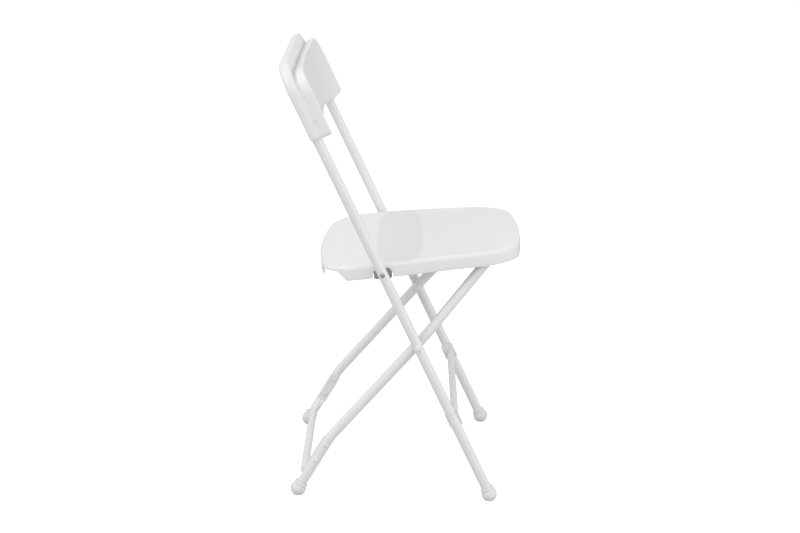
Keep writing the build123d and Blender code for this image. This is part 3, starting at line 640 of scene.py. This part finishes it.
class CHAIR_OT_back_panel(bpy.types.Operator):
    """Moulded back panel: rear and front shells with a groove between them, over the uprights' tops"""
    bl_idname = "chair.back_panel"
    bl_label = "Back panel"

    def execute(self, context):
        scene = context.scene
        panel = skin_rings(back_rings(scene.chair_back), upright_plane(scene), "back_moulding")
        dress(panel, finish(scene, "back_resin"))
        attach(panel, "upright_frame")
        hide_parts("back_panel")
        return {"FINISHED"}


# ---- seat ----

# Metres in the seat's own plan, but for NOTCH_SLOPE and DISH_SOFT, which are shares.
CORNER_ROUND = 0.007
NOTCH_SLOPE = 1.13
NOTCH_BLEND = 0.004
TAPER_SOFT = 0.06
BOW_FROM = 0.12
FALL_FROM = 0.10
DISH_SOFT = 0.07
DISH_FRONT = 0.13
DISH_FRONT_RISE = 0.115
DISH_SIDE = 0.186
DISH_SIDE_RISE = 0.034
BESIDE = 0.00005
NEAR = 0.002


def seat_half_ring(sizes, inset):
    """Half of the seat's plan, from the middle of its rear edge to the middle of its front edge."""
    half = sizes.half_width - inset
    rear = sizes.rear_side - inset
    front = -sizes.front_side + inset
    rear_r = sizes.rear_corner_r - inset
    front_r = sizes.front_corner_r - inset
    notch = sizes.notch_x
    near_notch = [notch + CORNER_ROUND * (1 - math.cos(a)) for a in steps(0, QUARTER, 5)]
    stations = steps(0, notch - 2 * NEAR, 26) + [notch - NEAR, notch - BESIDE] + near_notch
    stations += steps(notch + CORNER_ROUND, sizes.half_width - sizes.rear_corner_r, 6)
    points = [(x, rear) for x in stations]
    points += corner_arc(half - rear_r, rear - rear_r, rear_r, 90, 0, 30)
    arch = sizes.arch_r
    low = front + front_r
    side = steps(rear - rear_r, arch + 2 * NEAR, 5) + [arch + NEAR, arch + BESIDE]
    side += [arch * math.sin(a) for a in steps(QUARTER, -QUARTER, 20)]
    side += [-arch, -arch - BESIDE, -arch - NEAR]
    side += steps(-arch - 0.006, low, 30)
    points += [(half, y) for y in side]
    points += corner_arc(half - front_r, low, front_r, 0, -90, 24)
    points += [(x, front) for x in steps(half - front_r, 0, 22) + [0]]
    return [seat_warp(sizes, x, y) for x, y in points]


def seat_warp(sizes, x, y):
    """Draws the sides in towards the front and bows the rear and front edges."""
    reach = sizes.front_side - sizes.taper_from
    past = max(-y - sizes.taper_from, 0)
    drawn = past * past / (2 * TAPER_SOFT) if past < TAPER_SOFT else past - TAPER_SOFT / 2
    taper = (1 - sizes.front_half_width / sizes.half_width) * drawn / (reach - TAPER_SOFT / 2)
    x *= 1 - taper
    crown = 1 - (x / sizes.half_width) ** 2
    if y > 0:
        y += sizes.rear_bow * crown * (y / sizes.rear_side) ** 2
    else:
        share = max((-y - BOW_FROM) / (sizes.front_side - BOW_FROM), 0)
        y -= sizes.front_bow * crown * share ** 2
    return x, y


def seat_fall(sizes, y):
    """How far the whole plate has fallen away from flat, towards its rear and front edges."""
    if y > 0:
        return sizes.rear_fall * (y / sizes.rear_side) ** 2
    return sizes.front_fall * max((-y - FALL_FROM) / (sizes.front_side - FALL_FROM), 0) ** 2


def seat_top_height(sizes, x, y):
    """Height of the seat's top face, with the sitting dish let into it."""
    ahead = -y
    span = sizes.dish_rear + sizes.dish_low
    fall = (ahead + sizes.dish_rear) / span
    soft = DISH_SOFT
    if fall < soft:
        fall = max(fall + soft, 0) ** 2 / (4 * soft)
    elif fall > 1 - 2 * soft:
        over = min(fall, 1 + 2 * soft) - (1 - 2 * soft)
        fall = 1 - 2 * soft + over - over * over / (8 * soft)
    fall = min(max(fall, 0), 1)
    back_up = ease((ahead - DISH_FRONT) / DISH_FRONT_RISE)
    across = ease((DISH_SIDE - abs(x)) / DISH_SIDE_RISE)
    return sizes.top - sizes.dish * fall * (1 - back_up) * across


def seat_rim_height(sizes, x, y):
    """Height of the skirt's lower edge, raised round the hinge and at the rear corners."""
    x = abs(x)
    if x > sizes.half_width - 0.01 and abs(y) <= sizes.arch_r:
        return min(math.sqrt(max(sizes.arch_r ** 2 - y * y, 0)) - sizes.arch_drop, sizes.notch_top)
    if y > sizes.notch_y and x >= sizes.notch_x:
        slope = sizes.rim + (y - sizes.notch_y) * NOTCH_SLOPE
        gap = sizes.notch_top - slope
        if gap > NOTCH_BLEND:
            side = slope
        else:
            side = sizes.notch_top - max(gap + NOTCH_BLEND, 0) ** 2 / (4 * NOTCH_BLEND)
        inward = max(CORNER_ROUND - (x - sizes.notch_x), 0)
        inner = sizes.notch_top - CORNER_ROUND + math.sqrt(max(CORNER_ROUND ** 2 - inward ** 2, 0))
        return max(min(side, inner), sizes.rim)
    return sizes.rim


def seat_rings(sizes):
    """Rings from the middle of the top face, over the edge, round the rim and under to the middle."""

    def outline(inset):
        return both_halves(seat_half_ring(sizes, inset))

    def plate_ring(edge, share, drop):
        return [(x, y, seat_top_height(sizes, x, y) - drop) for x, y in drawn_in(edge, middle_y, share)]

    edge_r = sizes.edge_r
    wall = sizes.wall
    lip = wall / 2
    outer = outline(0)
    rims = [seat_rim_height(sizes, x, y) for x, y in outer]
    middle_y = (sizes.rear_side - sizes.front_side) / 2
    top_edge = outline(edge_r)
    rings = [plate_ring(top_edge, 0.04 + 0.96 * i / 26, 0) for i in range(27)]
    shoulder = sizes.top - edge_r
    for turn in steps(0, QUARTER, 8)[1:]:
        ring = outline(edge_r * (1 - math.sin(turn)))
        rings.append([(x, y, shoulder + edge_r * math.cos(turn)) for x, y in ring])
    for share in (0.0, 0.35, 0.7, 1.0):
        rings.append([(x, y, shoulder + (rim + lip - shoulder) * share) for (x, y), rim in zip(outer, rims)])
    for inset, rise in ((0.15, 0.5), (0.5, 0.15), (1.0, 0.0), (1.5, 0.15), (1.85, 0.5), (2.0, 1.0)):
        ring = outline(lip * inset)
        rings.append([(x, y, rim + lip * rise) for (x, y), rim in zip(ring, rims)])
    under = sizes.top - sizes.plate
    for share in (0.5, 1.0):
        rings.append([
            (x, y, rim + lip + (under - NEAR - rim - lip) * share) for (x, y), rim in zip(outline(wall), rims)
        ])
    for inset, drop in ((0.0006, 0.0006), (0.002, 0.0)):
        rings.append([(x, y, under - drop) for x, y in outline(wall + inset)])
    under_edge = outline(wall + 0.004)
    rings += [plate_ring(under_edge, 1 - 0.96 * i / 20, sizes.plate) for i in range(21)]
    return [[(x, y, z - seat_fall(sizes, y)) for x, y, z in ring] for ring in rings]


def add_painted_shade_band(material, sizes, rgb):
    """Paints shade into the band on the dish's forward slope by toning the seat's colour darker there."""
    tree = material.node_tree
    shader = tree.nodes["Principled BSDF"]
    tone = shader.inputs["Base Color"].links[0].from_socket
    band = use_group(tree, "worn_band", {
        "Rear": sizes.dish_rear, "Front": sizes.shade_band_front,
        "Side": sizes.shade_band_side, "Corner": sizes.shade_band_corner,
    })
    # Painted shade: the band is mixed towards a darker resin tone.
    toned = mix_colours(tree, band.outputs["Mask"], tone, shaded(rgb, PAINTED_SHADE_TONE))
    feed(tree, shader, {"Base Color": toned})


def store_plan(obj, place):
    """Keeps each vertex's place in the seat's own frame, for the finish."""
    back = place.inverted()
    field = obj.data.attributes.new("plan", "FLOAT_VECTOR", "POINT")
    for i, vertex in enumerate(obj.data.vertices):
        field.data[i].vector = back @ vertex.co


class CHAIR_OT_seat(bpy.types.Operator):
    """Moulded seat: dished plate with a skirt, open round the hinges and at the rear corners"""
    bl_idname = "chair.seat"
    bl_label = "Seat"

    def execute(self, context):
        scene = context.scene
        sizes = scene.chair_seat
        place = seat_plane(scene)
        seat = skin_rings(seat_rings(sizes), place, "seat_moulding")
        store_plan(seat, place)
        resin = finish(scene, "seat_resin").copy()
        resin.name = "seat_top_resin"
        # Paints shade into the seat's colour over the dish's forward slope.
        add_painted_shade_band(resin, sizes, scene.chair_finishes.resin)
        dress(seat, resin)
        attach(seat, "seat")
        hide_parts("seat_panel")
        return {"FINISHED"}


# ---- Geometry Nodes trees ----

def finish_tree(tree, given, out, geometry):
    """Ends a geometry tree in Realize Instances and Set Material."""
    real = add_node(tree, "GeometryNodeRealizeInstances", {"Geometry": geometry})
    coat = add_node(tree, "GeometryNodeSetMaterial", {
        "Geometry": real.outputs["Geometry"], "Material": given["Finish"],
    })
    return feed_out(tree, out, {"Geometry": coat.outputs["Geometry"]})


def copies_tree():
    """Sets a copy of a part on every point, its own Z along the point's axis, with a seeded spin."""
    tree, given, out = new_tree(
        "GeometryNodeTree", "set_copies",
        [("Geometry", "Geometry"), ("Part", "Object"), ("Size", "Float"), ("Spin", "Float"), ("Seed", "Int"),
         ("Finish", "Material")],
        [("Geometry", "Geometry")],
    )
    part = add_node(tree, "GeometryNodeObjectInfo", {"Object": given["Part"]})
    axis = add_node(tree, "GeometryNodeInputNamedAttribute", {"Name": "axis"}, data_type="FLOAT_VECTOR")
    aim = add_node(tree, "FunctionNodeAlignRotationToVector", {"Vector": axis.outputs["Attribute"]}, axis="Z")
    chance = add_node(tree, "FunctionNodeRandomValue", {}, data_type="FLOAT")
    feed(tree, chance, {"Max": given["Spin"], "Seed": given["Seed"]})
    turn = add_node(tree, "FunctionNodeAxisAngleToRotation", {
        "Axis": (0, 0, 1), "Angle": chance.outputs["Value"],
    })
    spun = add_node(tree, "FunctionNodeRotateRotation", {
        "Rotation": aim.outputs["Rotation"], "Rotate By": turn.outputs["Rotation"],
    }, rotation_space="LOCAL")
    set_on = add_node(tree, "GeometryNodeInstanceOnPoints", {
        "Points": given["Geometry"], "Instance": part.outputs["Geometry"],
        "Rotation": spun.outputs["Rotation"], "Scale": given["Size"],
    })
    return finish_tree(tree, given, out, set_on.outputs["Instances"])


def ribs_tree():
    """Sweeps a flat bar section along every edge path, for the ribs under the seat."""
    tree, given, out = new_tree(
        "GeometryNodeTree", "sweep_ribs",
        [("Geometry", "Geometry"), ("Thickness", "Float"), ("Depth", "Float"), ("Finish", "Material")],
        [("Geometry", "Geometry")],
    )
    path = add_node(tree, "GeometryNodeMeshToCurve", {"Mesh": given["Geometry"]})
    upright = add_node(tree, "GeometryNodeSetCurveNormal", {"Curve": path.outputs["Curve"]}, mode="Z_UP")
    section = add_node(tree, "GeometryNodeCurvePrimitiveQuadrilateral", {
        "Width": given["Thickness"], "Height": given["Depth"],
    })
    sweep = add_node(tree, "GeometryNodeCurveToMesh", {
        "Curve": upright.outputs["Curve"], "Profile Curve": section.outputs["Curve"], "Fill Caps": True,
    })
    return finish_tree(tree, given, out, sweep.outputs["Mesh"])


TREE_MAKERS = {
    "worn_band": painted_shade_band_tree,
    "surface_grain": surface_grain_tree,
    "tone_drift": tone_drift_tree,
    "handling_marks": handling_marks_tree,
    "set_copies": copies_tree,
    "sweep_ribs": ribs_tree,
}


def shared_tree(name):
    """The node tree of that name, made once."""
    return bpy.data.node_groups.get(name) or TREE_MAKERS[name]()


def run_tree(name, base, tree, values):
    """Plain mesh object from a base mesh run through a geometry tree."""
    carrier = bpy.data.objects.new(name + "_base", base)
    bpy.context.scene.collection.objects.link(carrier)
    nodes = carrier.modifiers.new("make", "NODES")
    nodes.node_group = tree
    for item in tree.interface.items_tree:
        if item.in_out == "INPUT" and item.name in values:
            nodes[item.identifier] = values[item.name]
    bpy.context.view_layer.update()
    ready = carrier.evaluated_get(bpy.context.evaluated_depsgraph_get())
    mesh = bpy.data.meshes.new_from_object(ready)
    mesh.name = name
    carrier.modifiers.clear()
    bpy.data.objects.remove(carrier)
    return link_smooth(name, mesh)


def set_copies(name, part, places, material, body, nodes, spin=0.0, seed=0):
    """One plain mesh of a part set at every place, a place being a point and an outward axis."""
    base = bpy.data.meshes.new(name + "_points")
    base.from_pydata([tuple(point) for point, axis in places], [], [])
    field = base.attributes.new("axis", "FLOAT_VECTOR", "POINT")
    for i, (point, axis) in enumerate(places):
        field.data[i].vector = axis
    mesh = bpy.data.meshes.new(name + "_part")
    bmesh.ops.recalc_face_normals(part, faces=part.faces)
    part.to_mesh(mesh)
    part.free()
    pattern = bpy.data.objects.new(name + "_part", mesh)
    bpy.context.scene.collection.objects.link(pattern)
    values = {"Part": pattern, "Size": 1.0, "Spin": spin, "Seed": seed, "Finish": material}
    obj = run_tree(name, base, shared_tree("set_copies"), values)
    bpy.data.objects.remove(pattern)
    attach(obj, body)
    if nodes:
        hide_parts(*nodes)
    return obj


def names_starting(*starts):
    """CAD nodes whose names start with any of the words."""
    return sorted(n for n in NODES if n.startswith(starts))


def node_middle(name):
    """Middle of a CAD node's box."""
    low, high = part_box(name)
    return (low + high) / 2


# ---- ribs ----

RIB_ROWS = (0.070, -0.060, -0.110, -0.160)
RIB_COLUMNS = (-0.078, -0.039, 0.0, 0.039, 0.078)
RIB_REACH = 0.106
CROSS_BAR_GAP = 0.0112
RIB_SUNK = 0.001


class CHAIR_OT_seat_ribs(bpy.types.Operator):
    """Stiffening ribs moulded under the seat plate"""
    bl_idname = "chair.seat_ribs"
    bl_label = "Seat ribs"

    def execute(self, context):
        scene = context.scene
        sizes = scene.chair_seat
        lines = [[(x, y) for x in steps(-RIB_REACH, RIB_REACH, 16) + [RIB_REACH]] for y in RIB_ROWS]
        for x in RIB_COLUMNS:
            bow = 1 - (x / sizes.half_width) ** 2
            rear = sizes.rear_side + sizes.rear_bow * bow - sizes.wall
            front = -sizes.front_side - sizes.front_bow * bow + sizes.wall
            lines.append([(x, y) for y in steps(-CROSS_BAR_GAP, front, 16) + [front]])
            lines.append([(x, y) for y in steps(CROSS_BAR_GAP, rear, 8) + [rear]])
        points, edges = [], []
        for line in lines:
            first = len(points)
            for x, y in line:
                height = seat_top_height(sizes, x, y) - seat_fall(sizes, y) - sizes.plate
                height -= sizes.rib_depth / 2 - RIB_SUNK
                points.append((x, y, height))
            edges += [(first + i, first + i + 1) for i in range(len(line) - 1)]
        base = bpy.data.meshes.new("seat_ribs_paths")
        base.from_pydata(points, edges, [])
        values = {"Thickness": sizes.rib_t, "Depth": sizes.rib_depth, "Finish": finish(scene, "seat_resin")}
        ribs = run_tree("seat_ribs", base, shared_tree("sweep_ribs"), values)
        ribs.data.transform(seat_plane(scene))
        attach(ribs, "seat")
        return {"FINISHED"}


# ---- feet ----

COLLAR_STEPS = (
    (-0.001, -0.0048), (-0.0003, -0.0045), (0, -0.0040), (0, -0.0008), (-0.0003, -0.0002), (-0.0009, 0),
)
SOCKET_DEPTH = 0.006
SOCKET_STEPS = ((0.0005, 0), (0.0001, -0.0004), (0.0001, -SOCKET_DEPTH))


def foot_part(sizes, tube_r):
    """Ball cap about its tube's axis, from its underside up to its collar, with a socket for the tube."""
    ball = sizes.ball_r
    neck = sizes.collar_r + COLLAR_STEPS[0][0]
    top = sizes.collar_top - sizes.ball_rise
    start = math.asin(neck / ball)
    profile = [(0, -ball)]
    profile += [(ball * math.sin(a), -ball * math.cos(a)) for a in steps(0.06, math.pi - start, 30)]
    profile.append((neck, ball * math.cos(start) + 0.0006))
    profile += [(sizes.collar_r + out, top + up) for out, up in COLLAR_STEPS]
    profile += [(tube_r + out, top + up) for out, up in SOCKET_STEPS]
    return lathe(profile + [(0, top - SOCKET_DEPTH)], 64)


def flatten_feet(obj):
    """Presses what reaches below the floor flat onto it."""
    for vertex in obj.data.vertices:
        vertex.co.z = max(vertex.co.z, 0.0)


class CHAIR_OT_feet(bpy.types.Operator):
    """Ball-shaped caps on the ends of the front and rear legs"""
    bl_idname = "chair.feet"
    bl_label = "Feet"

    def execute(self, context):
        scene = context.scene
        sizes = scene.chair_fixings
        tube_r = scene.chair_frame.tube_d / 2
        rear_leg = node_middle("rear_rivet_left_2") - node_middle("rear_rivet_left_1")
        groups = (
            ("front", "upright_frame", side_direction(-scene.chair_frame.lean)),
            ("rear", "rear_leg_frame", rear_leg.normalized()),
        )
        for word, body, axis in groups:
            nodes = names_starting(word + "_foot")
            places = []
            for node in nodes:
                low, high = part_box(node)
                ball_y = high.y - sizes.ball_r if axis.y < 0 else low.y + sizes.ball_r
                places.append((Vector(((low.x + high.x) / 2, ball_y, sizes.ball_rise)), axis))
            feet = set_copies(word + "_foot_caps", foot_part(sizes, tube_r), places, finish(scene, "cap_resin"),
                              body, nodes)
            flatten_feet(feet)
        return {"FINISHED"}


# ---- rivets and screws ----

CROSS_HEAD_H = 0.0040
RIVET_HEAD_H = 0.0026
HEAD_SKIRT = 0.003
SCREW_HEAD_H = 0.0022
SCREW_EDGE_H = 0.0008
SCREW_SHANK = 0.0015
RECESS_DEPTH = 0.0011
BACK_SCREW_SUNK = 0.0012


def dome_part(diameter, height, skirt):
    """Domed rivet head on a short shoulder that meets the round tube."""
    radius = diameter / 2
    profile = [(0, -skirt), (radius * 0.9, -skirt), (radius * 0.97, -0.0002), (radius, 0.0002)]
    for a in steps(0.12, QUARTER, 10):
        profile.append((radius * math.cos(a), 0.0004 + (height - 0.0004) * math.sin(a)))
    return lathe(profile + [(0, height)], 40)


def screw_part(diameter):
    """Pan-head screw with a cross recess."""
    radius = diameter / 2
    shank = radius * 0.55
    height = SCREW_HEAD_H
    profile = [(0, -SCREW_SHANK), (shank, -SCREW_SHANK), (shank, 0), (radius, 0.0001), (radius, SCREW_EDGE_H)]
    for a in steps(0.15, QUARTER - 0.25, 7):
        profile.append((radius * math.cos(a), SCREW_EDGE_H + (height - SCREW_EDGE_H) * math.sin(a)))
    profile.append((radius * 0.3, height))
    build = lathe(profile + [(0, height)], 32)
    arm, half = radius * 0.52, radius * 0.13
    corners = [
        (arm, half), (half, half), (half, arm), (-half, arm), (-half, half), (-arm, half),
        (-arm, -half), (-half, -half), (-half, -arm), (half, -arm), (half, -half), (arm, -half),
    ]
    rim = [build.verts.new((x, y, height + 0.00003)) for x, y in corners]
    floor = [build.verts.new((x * 0.7, y * 0.7, height - RECESS_DEPTH)) for x, y in corners]
    flat_r = radius * 0.62
    turns = [math.atan2(y, x) for x, y in corners]
    outside = [build.verts.new((flat_r * math.cos(t), flat_r * math.sin(t), height + 0.00002)) for t in turns]
    count = len(corners)
    for i in range(count):
        j = (i + 1) % count
        build.faces.new((rim[i], rim[j], floor[j], floor[i]))
        build.faces.new((outside[i], outside[j], rim[j], rim[i]))
    build.faces.new(floor)
    return build


def rivet_ends(name, head_h):
    """The two head places of a rivet that lies across, from its CAD box."""
    low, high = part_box(name)
    middle = node_middle(name)
    return [
        (Vector((high.x - head_h, middle.y, middle.z)), ACROSS),
        (Vector((low.x + head_h, middle.y, middle.z)), -ACROSS),
    ]


class CHAIR_OT_rivets(bpy.types.Operator):
    """Rivets at the crossings, the seat hinges and the rear brace"""
    bl_idname = "chair.rivets"
    bl_label = "Rivets"

    def execute(self, context):
        scene = context.scene
        sizes = scene.chair_fixings
        enamel = finish(scene, "rivet_enamel")
        kinds = (
            ("cross_rivet", sizes.cross_head_d, CROSS_HEAD_H, enamel, "upright_frame", "rivet_paint"),
            ("hinge_rivet", sizes.hinge_head_d, RIVET_HEAD_H, finish(scene, "zinc_plate"), "upright_frame",
             "fastener_steel"),
            ("rear_rivet", sizes.brace_head_d, RIVET_HEAD_H, enamel, "rear_leg_frame", "rivet_paint"),
        )
        for word, diameter, height, material, body, slot in kinds:
            places = [end for node in names_starting(word) for end in rivet_ends(node, height)]
            part = dome_part(diameter, height, HEAD_SKIRT)
            set_copies(word + "_heads", part, places, material, body, [])
            dress_nodes(material, word)
        return {"FINISHED"}


class CHAIR_OT_screws(bpy.types.Operator):
    """Cross-recess screws under the seat and in the ends of the back panel"""
    bl_idname = "chair.screws"
    bl_label = "Screws"

    def execute(self, context):
        scene = context.scene
        sizes = scene.chair_fixings
        place = seat_plane(scene)
        back = place.inverted()
        down = -(place.to_3x3() @ Vector((0, 0, 1)))
        nodes = names_starting("bracket_screw", "track_screw", "cross_bar_screw")
        places = []
        for node in nodes:
            middle = back @ node_middle(node)
            height = min((back @ v.co).z for v in NODES[node].data.vertices) + SCREW_HEAD_H
            places.append((place @ Vector((middle.x, middle.y, height)), down))
        set_copies("seat_screws", screw_part(sizes.screw_head_d), places, finish(scene, "zinc_plate"), "seat",
                   nodes, spin=math.pi, seed=sizes.spin_seed)
        ends = []
        for word, side in SIDES:
            middle = node_middle("back_screw_" + word)
            face = side * scene.chair_back.half_width
            ends.append((Vector((face - side * BACK_SCREW_SUNK, middle.y, middle.z)), ACROSS * side))
        set_copies("back_screws", screw_part(sizes.screw_head_d * 0.8), ends, finish(scene, "rivet_enamel"),
                   "upright_frame", names_starting("back_screw"), spin=math.pi,
                   seed=sizes.spin_seed + 1)
        return {"FINISHED"}


# ---- tubes and hardware ----

class CHAIR_OT_tubes(bpy.types.Operator):
    """Enamelled uprights, rear legs and braces"""
    bl_idname = "chair.tubes"
    bl_label = "Tubes"

    def execute(self, context):
        enamel = finish(context.scene, "baked_enamel")
        dress_nodes(enamel, "upright_tube", "rear_leg", "front_brace", "rear_brace")
        return {"FINISHED"}


class CHAIR_OT_hardware(bpy.types.Operator):
    """Hinge brackets, slide tracks, slide rod, bushes and spacers"""
    bl_idname = "chair.hardware"
    bl_label = "Hardware"

    def execute(self, context):
        steel = finish(context.scene, "plain_steel")
        nylon = finish(context.scene, "natural_nylon")
        dress_nodes(steel, "hinge_bracket", "slide_track", "slide_rod", "seat_cross_bar")
        dress_nodes(nylon, "cross_washer", "hinge_washer", "slide_bush")
        return {"FINISHED"}


# ---- stage ----

# name, place, height aimed at, size, power
LIGHTS = (
    ("key", (-0.9, 2.6, 3.0), 0.45, (2.4, 2.4), 38),
    ("side_fill", (-3.6, -0.4, 1.7), 0.5, (3.2, 2.6), 16),
    ("front_fill", (-1.2, -3.2, 1.4), 0.5, (2.8, 2.4), 26),
)
WHITE = (1.0, 1.0, 1.0, 1.0)
SKY_LIGHT = 0.78
SKY_SEEN = 1.05
FLOOR_GLOW = 0.72
FLOOR_HALF = 30
FLOOR_BELOW = 0.0005
SENSOR_WIDTH = 36.0


def area_light(name, place, aim_height, size, power):
    """Soft rectangular light aimed over the origin."""
    data = bpy.data.lights.new(name, "AREA")
    data.shape = "RECTANGLE"
    data.size, data.size_y = size
    data.energy = power
    light = bpy.data.objects.new(name, data)
    light.location = place
    light.rotation_euler = (Vector((0, 0, aim_height)) - Vector(place)).to_track_quat("-Z", "Y").to_euler()
    bpy.context.scene.collection.objects.link(light)


def seen_apart(tree, other, seen):
    """Shader that only the camera sees, in place of the other one."""
    rays = tree.nodes.new("ShaderNodeLightPath")
    return add_node(tree, "ShaderNodeMixShader", {"Fac": rays.outputs["Is Camera Ray"], **other, 2: seen})


def backdrop_material(rgb):
    """Pale floor with a slight cloudiness that glows a little to the camera."""
    material = bpy.data.materials.new("backdrop_paint")
    material.use_nodes = True
    tree = material.node_tree
    shade = add_node(tree, "ShaderNodeValToRGB", {"Fac": noise(tree, object_place(tree), 3.0)})
    shade.color_ramp.elements[0].color = shaded(rgb, 0.99)
    shade.color_ramp.elements[1].color = shaded(rgb, 1.0)
    paint = feed(tree, tree.nodes["Principled BSDF"], {
        "Base Color": shade.outputs["Color"], "Roughness": 0.9, "Specular IOR Level": 0.1,
    })
    glow = add_node(tree, "ShaderNodeEmission", {"Strength": FLOOR_GLOW})
    seen = seen_apart(tree, {}, glow.outputs["Emission"])
    both = add_node(tree, "ShaderNodeAddShader", {0: paint.outputs["BSDF"], 1: seen.outputs["Shader"]})
    feed(tree, tree.nodes["Material Output"], {"Surface": both.outputs["Shader"]})
    return material


class CHAIR_OT_stage(bpy.types.Operator):
    """Floor, soft lights, surroundings and camera"""
    bl_idname = "chair.stage"
    bl_label = "Stage"

    def execute(self, context):
        scene = context.scene
        sizes = scene.chair_stage
        build = bmesh.new()
        bmesh.ops.create_grid(build, x_segments=8, y_segments=8, size=FLOOR_HALF)
        floor = link_mesh("floor", build, Matrix.Translation((0, 0, -FLOOR_BELOW)))
        dress(floor, backdrop_material(scene.chair_finishes.backdrop))

        scene.world = bpy.data.worlds.new("surroundings")
        scene.world.use_nodes = True
        tree = scene.world.node_tree
        sky = feed(tree, tree.nodes["Background"], {"Color": WHITE, "Strength": SKY_LIGHT})
        clear = add_node(tree, "ShaderNodeBackground", {"Color": WHITE, "Strength": SKY_SEEN})
        either = seen_apart(tree, {1: sky.outputs["Background"]}, clear.outputs["Background"])
        feed(tree, tree.nodes["World Output"], {"Surface": either.outputs["Shader"]})
        for row in LIGHTS:
            area_light(*row)

        camera = bpy.data.objects.new("camera", bpy.data.cameras.new("camera"))
        camera.data.lens = sizes.lens
        camera.data.sensor_width = SENSOR_WIDTH
        floor_point = upright_plane(scene).to_translation()
        look = Vector((
            math.cos(sizes.dip) * math.cos(sizes.pan),
            math.cos(sizes.dip) * math.sin(sizes.pan),
            -math.sin(sizes.dip),
        ))
        level = look.cross(Vector((0, 0, 1))).normalized()
        rise = level.cross(look)
        right = level * math.cos(sizes.roll) + rise * math.sin(sizes.roll)
        up = rise * math.cos(sizes.roll) - level * math.sin(sizes.roll)
        place = Vector((-sizes.away, floor_point.y + sizes.behind, sizes.height))
        camera.matrix_world = plane_matrix(place, right, up, -look)
        scene.collection.objects.link(camera)
        scene.camera = camera
        scene.view_settings.view_transform = "Standard"
        return {"FINISHED"}


# ---- panel and registration ----

OPERATORS = (
    CHAIR_OT_stage,
    CHAIR_OT_back_panel,
    CHAIR_OT_seat,
    CHAIR_OT_seat_ribs,
    CHAIR_OT_feet,
    CHAIR_OT_rivets,
    CHAIR_OT_screws,
    CHAIR_OT_tubes,
    CHAIR_OT_hardware,
)


class CHAIR_PT_pieces(bpy.types.Panel):
    """Pieces of the chair, in the order they are made"""
    bl_idname = "CHAIR_PT_pieces"
    bl_label = "Folding chair"
    bl_space_type = "VIEW_3D"
    bl_region_type = "UI"
    bl_category = "Chair"

    def draw(self, context):
        for maker in OPERATORS:
            self.layout.operator(maker.bl_idname)
        for attribute, group in GROUPS.items():
            box = self.layout.box()
            for label in group.__annotations__:
                box.prop(getattr(context.scene, attribute), label)


CLASSES = (*GROUPS.values(), *OPERATORS, CHAIR_PT_pieces)


def register():
    for kind in CLASSES:
        bpy.utils.register_class(kind)
    for attribute, group in GROUPS.items():
        setattr(bpy.types.Scene, attribute, PointerProperty(type=group))


def unregister():
    for attribute in GROUPS:
        delattr(bpy.types.Scene, attribute)
    for kind in reversed(CLASSES):
        bpy.utils.unregister_class(kind)


def main():
    """Builds the chair and its stage."""
    register()
    for maker in OPERATORS:
        family, action = maker.bl_idname.split(".")
        getattr(getattr(bpy.ops, family), action)()


if __name__ == "__main__":
    main()
